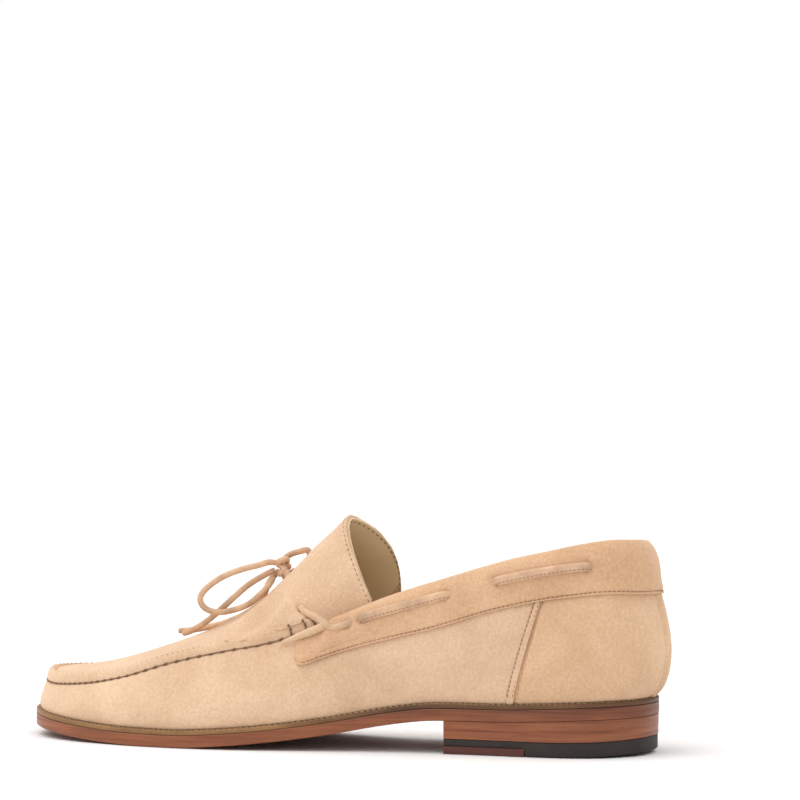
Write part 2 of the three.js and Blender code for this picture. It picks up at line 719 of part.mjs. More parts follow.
// The tongue's inner side stands further back than its outer side.
const INNER_LAG = 1.8;

function sheetPoint(s, side, across) {
  const edge = sheetEdge(s, side);
  const [ct, cz] = crownLine(s);
  const mid = graded(-1, ct, cz);
  mid.x = gradeX(-1 - 3 * ease((4 - s) / 4));
  const rim = ease((8.9 - s) / 0.9);
  const arch = ease((s - 4.5) / 4.5);
  const rimSteps = RIM_STEPS.length;
  const flat = new THREE.Vector3(mid.x - edge.x, mid.y - edge.y, 0);
  const reach = flat.length();
  let [inward, lift] = [0, 0];
  if (across < rimSteps) [inward, lift] = RIM_STEPS[across];
  const start = RIM_STEPS[rimSteps - 1];
  const share = across < rimSteps ? inward / reach : start[0] / reach
    + (1 - start[0] / reach) * ((across - rimSteps + 1) / (SHEET_ROWS - rimSteps));
  const angle = share * (Math.PI / 2);
  const rise = (1 - arch) * (1 - (1 - share) ** 2) + arch * Math.sin(angle);
  const run = (1 - arch) * share + arch * (1 - Math.cos(angle));
  const low = edge.z + rim * start[1];
  const body = low + (mid.z - low) * rise;
  const z = across < rimSteps ? body + rim * (lift - start[1]) : body;
  const lag = side > 0 ? 1 : 1 + INNER_LAG * ease((s - 9) / 3);
  const along = (1 - arch) * share + arch * Math.sin(angle) ** lag;
  return new THREE.Vector3(edge.x + (mid.x - edge.x) * run, edge.y + (mid.y - edge.y) * along, z);
}

function sheet(from, to, count, inner, outer, trim = 0) {
  const rows = SHEET_ROWS - trim;
  const half = steps(from, to, count);
  const outerSide = half.map((s) => [s, 1]).reverse();
  if (from === 0) {
    const ribs = [...outerSide, ...half.slice(1).map((s) => [s, -1])];
    const fan = gridSurface(ribs.length, rows, (i, j) => sheetPoint(...ribs[i], j + trim));
    return shell(fan, inner, outer);
  }
  const strip = gridSurface(half.length, 2 * rows - 1, (i, j) => (j < rows
    ? sheetPoint(outerSide[i][0], 1, j + trim) : sheetPoint(outerSide[i][0], -1, 2 * rows - 2 - j + trim)));
  return shell(strip, inner, outer);
}

const SPLIT_GAP = 0.035;

const LINING_OUT = -SUEDE - GAP;
const LINING_IN = LINING_OUT - LINING;
const APRON_STEPS = 20;
const TONGUE_STEPS = 5;
const LINING_TRIM = 4;

const apron = () => cut(sheet(0, TONGUE_SPLIT - SPLIT_GAP, APRON_STEPS, -SUEDE, 0), laceClearance());
const apronLining = () => cut(
  sheet(0, TONGUE_SPLIT - SPLIT_GAP, APRON_STEPS, LINING_IN, LINING_OUT, LINING_TRIM), laceClearance(),
);
const tongueFlap = () => sheet(TONGUE_SPLIT, TONGUE_END, TONGUE_STEPS, -SUEDE, 0);
const tongueLining = () => sheet(TONGUE_SPLIT, TONGUE_END, TONGUE_STEPS, LINING_IN, LINING_OUT);

// Bow: the knot and the four lengths of lace that stand free of it: x, t, z.
const KNOT_AT = [1.5, 173, 77.4];
const OUTER_LOOP = [
  [4, 175.8, 79.1], [7.2, 178.4, 79.5], [11, 181.4, 78.5], [15, 188.9, 76.4], [18, 196.3, 73.1],
  [19.5, 202.9, 68.3], [19.5, 206, 63.6], [19, 204.1, 59.4], [17.5, 198.5, 57.5], [15, 191.3, 58.7],
  [12.5, 185.6, 61.2], [10.5, 181.2, 65.2], [8.5, 177.8, 69.3], [5, 176.8, 72.4],
];
const INNER_LOOP = [
  [-2.7, 175.4, 79.7], [-5.4, 172.8, 82.2], [-8, 168.8, 83.6], [-12.5, 167.2, 83.8],
  [-17.5, 168, 80.6], [-21.2, 171.2, 75.2], [-21.8, 174.8, 70.4], [-19.8, 177, 68],
  [-15.5, 177.2, 69.2], [-10.5, 176.8, 71], [-4.6, 176, 73.8],
];
const OUTER_END = [
  [3, 176.8, 75.9], [6, 181.9, 73], [9.5, 187.3, 69.1], [12.5, 192.8, 63.8], [13.5, 198.6, 58.4],
  [12, 205.5, 53.1], [9.5, 212.2, 49.2], [7.5, 218.8, 46.5],
];
const INNER_END = [
  [-0.1, 176.3, 75.2], [-2.8, 181.5, 70.2], [-8.5, 186.8, 63], [-12.8, 191.5, 58.2],
  [-14.5, 199, 53.6], [-13.5, 207.5, 49.9], [-11.2, 216, 47.7], [-9.4, 222.5, 46.5],
  [-8.5, 227.5, 46.2],
];

function freeCord(route) {
  const curve = new THREE.CatmullRomCurve3(route.map(([x, t, z]) => graded(x, t, z)), false, 'centripetal');
  const round = new THREE.Shape(steps(0, 2 * Math.PI, 8).slice(0, -1)
    .map((a) => new THREE.Vector2((BOW_DIAMETER / 2) * Math.cos(a), (BOW_DIAMETER / 2) * Math.sin(a))));
  const count = Math.max(8, Math.round(curve.getLength() / (2.2 * BOW_DIAMETER)));
  return new THREE.ExtrudeGeometry(round, { steps: count, extrudePath: curve, bevelEnabled: false });
}

function knot() {
  const ball = new THREE.SphereGeometry(KNOT_RADIUS, 14, 10);
  ball.scale(1.05, 0.72, 0.95);
  const p = graded(...KNOT_AT);
  ball.rotateX(-Math.PI / 4);
  ball.translate(p.x, p.y, p.z);
  return cut(ball, laceClearance());
}

const look = (color, roughness, metalness = 0) => new THREE.MeshStandardMaterial(
  { color, roughness, metalness },
);
const suede = look(0xe3bd97, 0.95);
const lace = look(0xc99c78, 0.9);
const lining = look(0xa89670, 0.8);
const soleLeather = look(0xa05a3c, 0.5);
const weltLeather = look(0x9c7446, 0.6);
const rubber = look(0x3c302c, 0.7);
const insert = look(0x7d3c32, 0.6);
const cork = look(0xb98a5c, 0.9);
const board = look(0xc8b48c, 0.9);
const steel = look(0x8d9094, 0.4, 0.9);
const stiff = look(0xd9d2c0, 0.8);

const pieces = [
  ['outsole', outsole, soleLeather], ['welt', welt, weltLeather], ['cork_filler', corkFiller, cork],
  ['shank', shank, steel], ['insole_board', insoleBoard, board], ['heel_pad', heelPad, stiff],
  ['sock_liner', sockLiner, lining], ['heel_lift_upper', upperLift, soleLeather],
  ['heel_lift_lower', lowerLift, soleLeather], ['heel_top_piece', topPiece, rubber],
  ['heel_insert', heelInsert, insert], ['vamp', vamp, suede], ['quarter_outer', () => quarter(1), suede],
  ['quarter_inner', () => quarter(-1), suede], ['quarter_lining', quarterLining, lining],
  ['vamp_lining', vampLining, lining], ['heel_counter', counter, stiff], ['toe_puff', toePuff, stiff],
  ['collar', collar, suede], ['apron', apron, suede], ['apron_lining', apronLining, lining],
  ['tongue_flap', tongueFlap, suede], ['tongue_lining', tongueLining, lining], ['lace', heldLace, lace],
  ['bow_knot', knot, lace], ['bow_loop_outer', () => freeCord(OUTER_LOOP), lace],
  ['bow_loop_inner', () => freeCord(INNER_LOOP), lace], ['bow_end_outer', () => freeCord(OUTER_END), lace],
  ['bow_end_inner', () => freeCord(INNER_END), lace],
  ...nailPlaces.map(([x, t], i) => [`heel_nail_${i + 1}`, () => nailTool(x, t, 0), steel]),
];

const shoe = new THREE.Group();
const box = new THREE.Box3();
for (const [name, make, material] of pieces) {
  const mesh = new THREE.Mesh(make(), material);
  mesh.name = name;
  shoe.add(mesh);
  if (!name.startsWith('bow_loop') && !name.startsWith('bow_end')) box.expandByObject(mesh);
}
const middle = box.getCenter(new THREE.Vector3());
shoe.position.set(-middle.x, -middle.y, -box.min.z);

export default shoe;
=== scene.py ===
import math

import bmesh
import bpy
import numpy as np
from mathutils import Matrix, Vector, noise


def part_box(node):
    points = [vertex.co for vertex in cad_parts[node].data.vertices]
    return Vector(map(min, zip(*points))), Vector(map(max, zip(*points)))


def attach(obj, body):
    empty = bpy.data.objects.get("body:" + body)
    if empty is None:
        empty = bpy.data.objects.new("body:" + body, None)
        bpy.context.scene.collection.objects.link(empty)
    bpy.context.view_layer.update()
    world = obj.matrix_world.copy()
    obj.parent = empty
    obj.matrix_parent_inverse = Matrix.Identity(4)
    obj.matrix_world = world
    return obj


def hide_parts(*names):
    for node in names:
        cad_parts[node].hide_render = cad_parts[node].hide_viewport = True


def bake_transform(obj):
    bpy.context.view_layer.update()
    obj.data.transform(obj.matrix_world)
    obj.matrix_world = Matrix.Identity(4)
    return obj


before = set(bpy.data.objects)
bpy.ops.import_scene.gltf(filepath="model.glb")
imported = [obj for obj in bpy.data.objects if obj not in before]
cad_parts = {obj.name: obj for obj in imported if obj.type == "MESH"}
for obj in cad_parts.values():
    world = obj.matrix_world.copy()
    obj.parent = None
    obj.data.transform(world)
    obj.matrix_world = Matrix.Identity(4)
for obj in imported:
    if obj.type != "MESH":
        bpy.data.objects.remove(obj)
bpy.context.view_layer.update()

# ---------------------------------------------------------------------------------------------
# Where things are. The shoe is a man's left shoe standing on its heel and the ball of its sole.
# A place on it is written x, t, z: across from the last's middle line, forward from the back of
# the sole, and up from the floor.
SOLE_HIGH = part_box("outsole")[1]
WIDEST = 0.05175
LAST_X = SOLE_HIGH.x - WIDEST
BACK_Y = SOLE_HIGH.y


def place(x, t, z):
    """The point at side x, distance t from the heel and height z, or an array of such points."""
    x, t, z = np.broadcast_arrays(x, t, z)
    return np.stack([LAST_X + x, BACK_Y - t, z + 0.0 * x], -1)


# ---------------------------------------------------------------------------------------------
# Camera: a long lens three metres off at the outer side, a little behind the shoe and just above
# the floor, level enough to see the whole wall and only a sliver of the inside.
CAMERA_AZIMUTH = math.radians(20)
CAMERA_DISTANCE = 3.0
CAMERA_HEIGHT = 0.315
CAMERA_DIP = math.radians(3.11)
CAMERA_ASIDE = 0.0257
LENS = 304.9

toward = Vector((-math.cos(CAMERA_AZIMUTH), -math.sin(CAMERA_AZIMUTH), 0))
aside = Vector((-math.sin(CAMERA_AZIMUTH), math.cos(CAMERA_AZIMUTH), 0))
last_middle = Vector((LAST_X, BACK_Y - 0.146, 0))
bpy.ops.object.camera_add()
camera = bpy.context.object
camera.name = "camera"
camera.location = last_middle - toward * CAMERA_DISTANCE + aside * CAMERA_ASIDE
camera.location.z = CAMERA_HEIGHT
gaze = toward * math.cos(CAMERA_DIP) - Vector((0, 0, math.sin(CAMERA_DIP)))
camera.rotation_euler = gaze.to_track_quat("-Z", "Y").to_euler()
camera.data.lens = LENS
camera.data.clip_end = 20
bpy.context.scene.camera = camera


# ---------------------------------------------------------------------------------------------
# The bow. Two loops and two ends of the rolled leather lace leave the knot and lie forward over
# the apron. The leather is stiff, so each holds its own curve in the air, as a tied lace does.
LACE_COLOUR = (0.66, 0.42, 0.262)
BOW_DIAMETER = 0.0028
OUTER_LOOP = [
    (0.004, 0.1758, 0.0791), (0.0072, 0.1784, 0.0795), (0.011, 0.1814, 0.0785), (0.015, 0.1889, 0.0764),
    (0.018, 0.1963, 0.0731), (0.0195, 0.2029, 0.0683), (0.0195, 0.206, 0.0636), (0.019, 0.2041, 0.0594),
    (0.0175, 0.1985, 0.0575), (0.015, 0.1913, 0.0587), (0.0125, 0.1856, 0.0612), (0.0105, 0.1812, 0.0652),
    (0.0085, 0.1778, 0.0693), (0.005, 0.1768, 0.0724),
]
INNER_LOOP = [
    (-0.0027, 0.1754, 0.0797), (-0.0054, 0.1728, 0.0822), (-0.008, 0.1688, 0.0836),
    (-0.0125, 0.1672, 0.0838),
    (-0.0175, 0.168, 0.0806), (-0.0212, 0.1712, 0.0752), (-0.0218, 0.1748, 0.0704), (-0.0198, 0.177, 0.068),
    (-0.0155, 0.1772, 0.0692), (-0.0105, 0.1768, 0.071), (-0.0046, 0.176, 0.0738),
]
OUTER_END = [
    (0.003, 0.1768, 0.0759), (0.006, 0.1819, 0.073), (0.0095, 0.1873, 0.0691), (0.0125, 0.1928, 0.0638),
    (0.0135, 0.1986, 0.0584), (0.012, 0.2055, 0.0531), (0.0095, 0.2122, 0.0492), (0.0075, 0.2188, 0.0465),
]
INNER_END = [
    (-0.0001, 0.1763, 0.0752), (-0.0028, 0.1815, 0.0702), (-0.0085, 0.1868, 0.063),
    (-0.0128, 0.1915, 0.0582), (-0.0145, 0.199, 0.0536), (-0.0135, 0.2075, 0.0499),
    (-0.0112, 0.216, 0.0477), (-0.0094, 0.2225, 0.0465), (-0.0085, 0.2275, 0.0462),
]


def through(rows, at, closed=False):
    """Catmull-Rom curve through the rows, one row for each whole number of at."""
    rows = np.asarray(rows, float)
    at = np.asarray(at, float)
    count = len(rows)
    i = np.floor(at).astype(int)
    if not closed:
        i = np.clip(i, 0, count - 2)
    s = (at - i)[..., None]

    def row(offset):
        j = (i + offset) % count if closed else np.clip(i + offset, 0, count - 1)
        return rows[j]

    a, b, c, d = row(-1), row(0), row(1), row(2)
    return 0.5 * (2 * b + (c - a) * s + (2 * a - 5 * b + 4 * c - d) * s**2
                  + (3 * b - a - 3 * c + d) * s**3)


def evenly(points, pitch):
    """Points spaced a pitch apart along a polyline, and the directions there."""
    points = np.asarray(points)
    steps = np.linalg.norm(np.diff(points, axis=0), axis=1)
    run = np.concatenate([[0], np.cumsum(steps)])
    count = max(2, int(round(run[-1] / pitch)) + 1)
    at = np.linspace(0, run[-1], count)
    spaced = np.stack([np.interp(at, run, points[:, i]) for i in range(3)], -1)
    along = np.gradient(spaced, axis=0)
    return spaced, along / np.linalg.norm(along, axis=1, keepdims=True)


def unit(vectors):
    """The vectors at length 1."""
    return vectors / np.maximum(np.linalg.norm(vectors, axis=-1, keepdims=True), 1e-12)


def take_up(piece):
    """Selects one piece and nothing else."""
    bpy.ops.object.select_all(action="DESELECT")
    piece.select_set(True)
    bpy.context.view_layer.objects.active = piece


def mesh_piece(name, points, faces, material, smooth_angle=40):
    """A mesh object at the origin, its doubles merged and its edges shaded by angle."""
    mesh = bpy.data.meshes.new(name)
    mesh.from_pydata([tuple(p) for p in points], [], faces)
    piece = bpy.data.objects.new(name, mesh)
    bpy.context.scene.collection.objects.link(piece)
    take_up(piece)
    bpy.ops.object.mode_set(mode="EDIT")
    bpy.ops.mesh.select_all(action="SELECT")
    bpy.ops.mesh.remove_doubles(threshold=0.00002)
    bpy.ops.mesh.normals_make_consistent(inside=False)
    bpy.ops.object.mode_set(mode="OBJECT")
    bpy.ops.object.shade_smooth_by_angle(angle=math.radians(smooth_angle))
    mesh.materials.append(material)
    return piece


def grid_faces(columns, rows, wrap_columns=False, wrap_rows=False, start=0):
    """Quads over a grid of points that is stored column by column from index start."""
    faces = []
    for i in range(columns if wrap_columns else columns - 1):
        for j in range(rows if wrap_rows else rows - 1):
            a, b = i * rows + j, ((i + 1) % columns) * rows + j
            c, d = ((i + 1) % columns) * rows + (j + 1) % rows, i * rows + (j + 1) % rows
            faces.append((start + a, start + b, start + c, start + d))
    return faces


def lace_rings(path, section, tip=0.0, sideways=None):
    """Rings of a lace's section along a path, with a frame that doesn't twist on its own."""
    along = unit(np.gradient(path, axis=0))
    side = np.zeros_like(path)
    start = np.cross(along[0], (0, 0, 1))
    side[0] = unit(start)
    for i in range(1, len(path)):
        carried = side[i - 1] - along[i] * np.dot(side[i - 1], along[i])
        side[i] = unit(carried)
    if sideways is not None:
        side = unit(sideways - along * np.sum(sideways * along, -1, keepdims=True))
    up = np.cross(side, along)
    rings = []
    for i, p in enumerate(path):
        near = min(i, len(path) - 1 - i)
        size = 1 - tip * max(0, 1 - near / 3) ** 2
        rings.append(p + size * (section[:, :1] * side[i] + section[:, 1:] * up[i]))
    return np.array(rings)


def start_material(name, roughness, gloss=0.5):
    """A new material: its tree, its shader and the Object coordinates that its textures read."""
    material = bpy.data.materials.new(name)
    material.use_nodes = True
    tree = material.node_tree
    shader = tree.nodes["Principled BSDF"]
    shader.inputs["Roughness"].default_value = roughness
    shader.inputs["Specular IOR Level"].default_value = gloss
    return material, tree, shader, tree.nodes.new("ShaderNodeTexCoord").outputs["Object"]


def noise_texture(tree, where, scale, detail=2.0, roughness=0.5, distortion=0.0):
    """A noise texture's value, 0 to 1; scale is in repeats to the metre."""
    texture = tree.nodes.new("ShaderNodeTexNoise")
    texture.inputs["Scale"].default_value = scale
    texture.inputs["Detail"].default_value = detail
    texture.inputs["Roughness"].default_value = roughness
    texture.inputs["Distortion"].default_value = distortion
    tree.links.new(where, texture.inputs["Vector"])
    return texture.outputs["Fac"]


def colour_from(tree, value, shader, *stops):
    """Colours the shader by a value, from stops of (position, colour), lowest and highest first."""
    tones = tree.nodes.new("ShaderNodeValToRGB")
    ramp = tones.color_ramp
    for i, (position, colour) in enumerate(stops):
        element = ramp.elements[i] if i < 2 else ramp.elements.new(position)
        element.position = position
        element.color = (*[min(1, c) for c in colour], 1)
    tree.links.new(value, tones.inputs["Fac"])
    tree.links.new(tones.outputs["Color"], shader.inputs["Base Color"])
    return tones.outputs["Color"]


def relief_from(tree, value, shader, strength, depth):
    """Bumps the shader's surface by a value, over a depth in metres."""
    bump = tree.nodes.new("ShaderNodeBump")
    bump.inputs["Strength"].default_value = strength
    bump.inputs["Distance"].default_value = depth
    tree.links.new(value, bump.inputs["Height"])
    tree.links.new(bump.outputs["Normal"], shader.inputs["Normal"])


def tinted(colour, share):
    """The colour made darker or lighter by a share."""
    return [c * share for c in colour]


def lace_material():
    """Rolled leather: tan, slightly glossy, darker in its pores and creases."""
    material, tree, shader, where = start_material("lace_leather", 0.55, 0.35)
    mottle = noise_texture(tree, where, 160, 6)
    colour_from(tree, mottle, shader, (0.3, tinted(LACE_COLOUR, 0.72)), (0.72, tinted(LACE_COLOUR, 1.14)))
    relief_from(tree, noise_texture(tree, where, 1500, 4), shader, 0.35, 0.0002)
    return material


lace_leather = lace_material()

# The lace is a strip rolled and sewn, so its section is round with a shallow seam along it.
ROUND = [(math.cos(a), math.sin(a)) for a in np.linspace(0, 2 * math.pi, 17)[:-1]]
ROUND_SECTION = np.array(ROUND) * BOW_DIAMETER / 2
ROUND_SECTION[12] *= 0.8


def tube(name, rings, material):
    """Closed tube through rings of points, each end closed by a low dome."""
    count, sides = rings.shape[:2]
    ends = [rings[0].mean(0), rings[-1].mean(0)]
    points = np.concatenate([rings.reshape(-1, 3), ends])
    faces = grid_faces(count, sides, wrap_rows=True)
    for j in range(sides):
        faces.append((count * sides, j, (j + 1) % sides))
        faces.append((count * sides + 1, (count - 1) * sides + (j + 1) % sides, (count - 1) * sides + j))
    return mesh_piece(name, points, faces, material, 60)


def bow_cord(name, route):
    """One loop or end of the bow, along its route from the knot."""
    route = place(*np.array(route).T)
    fine = through(route, np.linspace(0, len(route) - 1, 40 * len(route)))
    path, _ = evenly(fine, 0.0009)
    piece = tube(name, lace_rings(path, ROUND_SECTION, tip=0.18), lace_leather)
    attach(piece, "shoe")
    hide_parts(name)


bow_cord("bow_loop_outer", OUTER_LOOP)
bow_cord("bow_loop_inner", INNER_LOOP)
bow_cord("bow_end_outer", OUTER_END)
bow_cord("bow_end_inner", INNER_END)

# ---------------------------------------------------------------------------------------------
# Pattern of the last. Stations run round the shoe from the middle of the heel, 0, by the
# outer side to the toe, 17, and back by the inner side to 34. A row holds, for one station and
# its partner across the shoe, the sole's edge, the top line of the wall and the wall's fullness:
# sole t, outer x, inner x; top t, outer x, inner x, outer z, inner z; fullness.
TOE = 17
PATTERN = np.array([
    (0, 0, 0, 0.006, 0, 0, 0.0926, 0.0926, 0.0088),
    (0.0034, 0.015, -0.015, 0.0075, 0.0105, -0.0105, 0.0933, 0.0914, 0.0084),
    (0.016, 0.0286, -0.0286, 0.0145, 0.018, -0.0184, 0.0936, 0.0902, 0.007),
    (0.034, 0.034, -0.0326, 0.025, 0.0224, -0.023, 0.092, 0.0878, 0.0056),
    (0.056, 0.0342, -0.0324, 0.038, 0.0254, -0.026, 0.0892, 0.0848, 0.0044),
    (0.078, 0.0338, -0.0305, 0.06, 0.0272, -0.0278, 0.084, 0.0796, 0.0034),
    (0.1, 0.0352, -0.0278, 0.086, 0.028, -0.0282, 0.076, 0.072, 0.003),
    (0.122, 0.0386, -0.0282, 0.111, 0.0288, -0.0283, 0.068, 0.065, 0.0028),
    (0.142, 0.043, -0.0313, 0.132, 0.0304, -0.0283, 0.0596, 0.058, 0.0032),
    (0.16, 0.0472, -0.0365, 0.15, 0.0335, -0.0293, 0.052, 0.0514, 0.0036),
    (0.178, 0.0504, -0.0422, 0.169, 0.0358, -0.032, 0.046, 0.046, 0.004),
    (0.2, 0.0517, -0.0475, 0.191, 0.0379, -0.0355, 0.0416, 0.0416, 0.0043),
    (0.224, 0.0496, -0.0493, 0.214, 0.0386, -0.0376, 0.0361, 0.0361, 0.004),
    (0.246, 0.0445, -0.0473, 0.235, 0.0369, -0.0372, 0.0296, 0.0296, 0.0032),
    (0.264, 0.0375, -0.0418, 0.254, 0.0322, -0.0348, 0.0257, 0.0257, 0.0024),
    (0.279, 0.0265, -0.0332, 0.272, 0.0238, -0.0286, 0.0239, 0.024, 0.0016),
    (0.2885, 0.0115, -0.022, 0.2833, 0.0108, -0.0198, 0.0239, 0.0241, 0.0012),
    (0.292, -0.006, -0.006, 0.2878, -0.005, -0.005, 0.0246, 0.0246, 0.001),
])
OUTER_ROWS = PATTERN[:, [1, 0, 4, 3, 6, 8]]
INNER_ROWS = PATTERN[:, [2, 0, 5, 3, 7, 8]]
ROUND_ROWS = np.concatenate([OUTER_ROWS, INNER_ROWS[1:TOE][::-1]])

# Underside of the sole from heel to toe: t, z. It is clear of the floor at the waist and the toe.
SOLE_CURVE = [
    (0, 0.017), (0.02, 0.0165), (0.041, 0.0155), (0.06, 0.0147), (0.086, 0.0144), (0.097, 0.0139),
    (0.115, 0.0114), (0.138, 0.0071), (0.16, 0.0039), (0.181, 0.0016), (0.203, 0.0001), (0.216, 0),
    (0.23, 0.0001), (0.248, 0.0009), (0.265, 0.0022), (0.28, 0.0037), (0.292, 0.0048),
]
OUTSOLE_THICKNESS = 0.0054
WELT_THICKNESS = 0.0017
WELT_WIDTH = 0.009
WELT_STEP = 0.0022
GAP = 0.0003
WELT_TOP = OUTSOLE_THICKNESS + GAP + WELT_THICKNESS
FEATHER = WELT_TOP + GAP
STEP = 0.05


def around(k):
    """The pattern's row at a station: sole x and t, top x, t and z, fullness."""
    return through(ROUND_ROWS, k, closed=True)


def height_on(curve, t):
    """Height of a drawn profile at distance t from the heel."""
    rows = np.array(curve, float)
    t = np.clip(t, rows[0, 0], rows[-1, 0])
    last = len(rows) - 1
    i = np.clip(np.searchsorted(rows[:, 0], t, side="right") - 1, 0, last - 1)
    before, after = np.maximum(np.arange(last + 1) - 1, 0), np.minimum(np.arange(last + 1) + 1, last)
    slope = (rows[after, 1] - rows[before, 1]) / (rows[after, 0] - rows[before, 0])
    h = rows[i + 1, 0] - rows[i, 0]
    s = (t - rows[i, 0]) / h
    return ((1 + 2 * s) * (1 - s) ** 2 * rows[i, 1] + s * (1 - s) ** 2 * h * slope[i]
            + s * s * (3 - 2 * s) * rows[i + 1, 1] + s * s * (s - 1) * h * slope[i + 1])


def ease(s):
    """0 below 0, 1 above 1, and smooth between."""
    s = np.clip(s, 0, 1)
    return s * s * (3 - 2 * s)


def sole_edge(k, inset=0.0):
    """x and t of the sole's edge at a station, moved in by inset."""
    x, t = np.moveaxis(around(k)[..., :2], -1, 0)
    before, after = around(k - STEP), around(k + STEP)
    across = after[..., 0] - before[..., 0]
    back = before[..., 1] - after[..., 1]
    size = np.hypot(across, back)
    return x + back / size * inset, t + across / size * inset


def feather_point(k, inset):
    """Where the upper meets the welt, moved in from the sole's edge by inset."""
    x, t = sole_edge(k, inset)
    return place(x, t, height_on(SOLE_CURVE, t) + FEATHER)


def top_line(k):
    """The top edge of the wall: the opening's line behind, the moccasin seam in front."""
    row = around(k)
    return place(row[..., 2], row[..., 3], row[..., 4])


def wall(k, rise):
    """Outer face of the upper: rise is 0 at the welt and 1 at the top line."""
    k, rise = np.broadcast_arrays(np.asarray(k, float), np.asarray(rise, float))
    bottom, top = feather_point(k, WELT_STEP), top_line(k)
    chord = top - bottom
    along = (top_line(k + STEP) - top_line(k - STEP)
             + feather_point(k + STEP, WELT_STEP) - feather_point(k - STEP, WELT_STEP))
    out = unit(np.cross(chord, along))
    swell = around(k)[..., 5] * np.sin(math.pi * np.clip(rise, 0, 1) ** 0.6)
    return bottom + chord * rise[..., None] + out * swell[..., None]


def wall_height(k):
    """How far it is up the wall from the welt to the top line."""
    return np.linalg.norm(top_line(k) - feather_point(k, WELT_STEP), axis=-1)


def wall_normal(k, rise):
    """The way out of the wall."""
    k, rise = np.broadcast_arrays(np.asarray(k, float), np.asarray(rise, float))
    along = wall(k + STEP, rise) - wall(k - STEP, rise)
    up = wall(k, np.minimum(rise + 0.03, 1)) - wall(k, np.maximum(rise - 0.03, 0.001))
    return unit(np.cross(up, along))


def on_wall(k, drop, out):
    """A point a drop below the top line and out from the wall; a negative drop is above it."""
    k, drop, out = np.broadcast_arrays(*(np.asarray(v, float) for v in (k, drop, out)))
    rise = 1 - np.maximum(drop, 0) / wall_height(k)
    point = wall(k, rise) + wall_normal(k, np.minimum(rise, 0.98)) * out[..., None]
    point[..., 2] += np.maximum(-drop, 0)
    return point


def half_station(k):
    """The station counted from the heel on either side, 0 to TOE."""
    k = np.mod(k, 2 * TOE)
    return np.minimum(k, 2 * TOE - k)


# ---------------------------------------------------------------------------------------------
# Leather of the bottom: vegetable-tanned sole leather, cut, stacked and burnished with wax. Its
# edge shows the fibres as fine level lines, and it darkens where the hot iron has run.
def leather_material(name, dark, light, scale, roughness, grain=0.25, level_lines=0.0, burnish=None):
    """burnish is (axis, from, to, tone): the colour is darkened to that tone between those places."""
    material, tree, shader, where = start_material(name, roughness, 0.4)
    stretch = tree.nodes.new("ShaderNodeMapping")
    stretch.inputs["Scale"].default_value = (0.35, 0.35, 1 + 6 * level_lines)
    tree.links.new(where, stretch.inputs["Vector"])
    stretched = stretch.outputs["Vector"]
    fibres = noise_texture(tree, stretched, scale, 8, 0.62)
    colour = colour_from(tree, fibres, shader, (0.32, dark), (0.7, light))
    relief_from(tree, noise_texture(tree, stretched, scale * 14, 5), shader, grain, 0.0003)
    if burnish:
        axis, start, stop, tone = burnish
        split = tree.nodes.new("ShaderNodeSeparateXYZ")
        between = tree.nodes.new("ShaderNodeMapRange")
        between.inputs["From Min"].default_value = start
        between.inputs["From Max"].default_value = stop
        darker = tree.nodes.new("ShaderNodeMix")
        darker.data_type = "RGBA"
        darker.blend_type = "MULTIPLY"
        darker.inputs["B"].default_value = (*tone, 1)
        tree.links.new(where, split.inputs["Vector"])
        tree.links.new(split.outputs[axis], between.inputs["Value"])
        tree.links.new(between.outputs["Result"], darker.inputs["Factor"])
        tree.links.new(colour, darker.inputs["A"])
        tree.links.new(darker.outputs["Result"], shader.inputs["Base Color"])
    return material


sole_leather = leather_material("sole_leather", (0.18, 0.05, 0.019), (0.34, 0.115, 0.046), 75, 0.42,
                                0.2, 1.0, ("Z", 0.0125, 0.0215, (0.55, 0.5, 0.5)))
ACROSS = 20


def slab(name, stations, inset, low, high, edge, material):
    """A level piece of the bottom between low(t) and high(t). Its edge lists how the side runs up
    between them, as (inset, share of the height)."""
    points, faces = [], []

    def add(grid):
        start = len(points)
        points.extend(grid.reshape(-1, 3))
        faces.extend(grid_faces(*grid.shape[:2], start=start))

    def rim(k, extra, share):
        x, t = sole_edge(k, inset + extra)
        return place(x, t, low(t) + (high(t) - low(t)) * share)

    def level(share, extra):
        one = sole_edge(stations, inset + extra)
        two = sole_edge(2 * TOE - stations, inset + extra)
        s = np.linspace(0, 1, ACROSS + 1)
        x = one[0][:, None] * (1 - s) + two[0][:, None] * s
        t = one[1][:, None] * (1 - s) + two[1][:, None] * s
        return place(x, t, low(t) + (high(t) - low(t)) * share)

    add(level(0, edge[0][0]))
    add(level(1, edge[-1][0])[:, ::-1])
    for ring in (stations, 2 * TOE - stations[::-1]):
        add(np.stack([rim(ring, extra, share) for extra, share in edge], 1))
    for k in (stations[0], stations[-1]):
        one = np.stack([rim(k, extra, share) for extra, share in edge], 0)
        two = np.stack([rim(2 * TOE - k, extra, share) for extra, share in edge], 0)
        s = np.linspace(0, 1, ACROSS + 1)[:, None, None]
        add(one * (1 - s) + two * s)
    piece = mesh_piece(name, points, faces, material, 35)
    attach(piece, "shoe")
    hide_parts(name)
    return piece


def spaced(first, last, count):
    """Stations from first to last, closer together at each end, where the edge turns."""
    return first + (last - first) * (1 - np.cos(np.linspace(0, math.pi, count + 1))) / 2


def sole_rise(amount):
    """The height of a surface that lies an amount above the sole's underside."""
    return lambda t: height_on(SOLE_CURVE, t) + amount


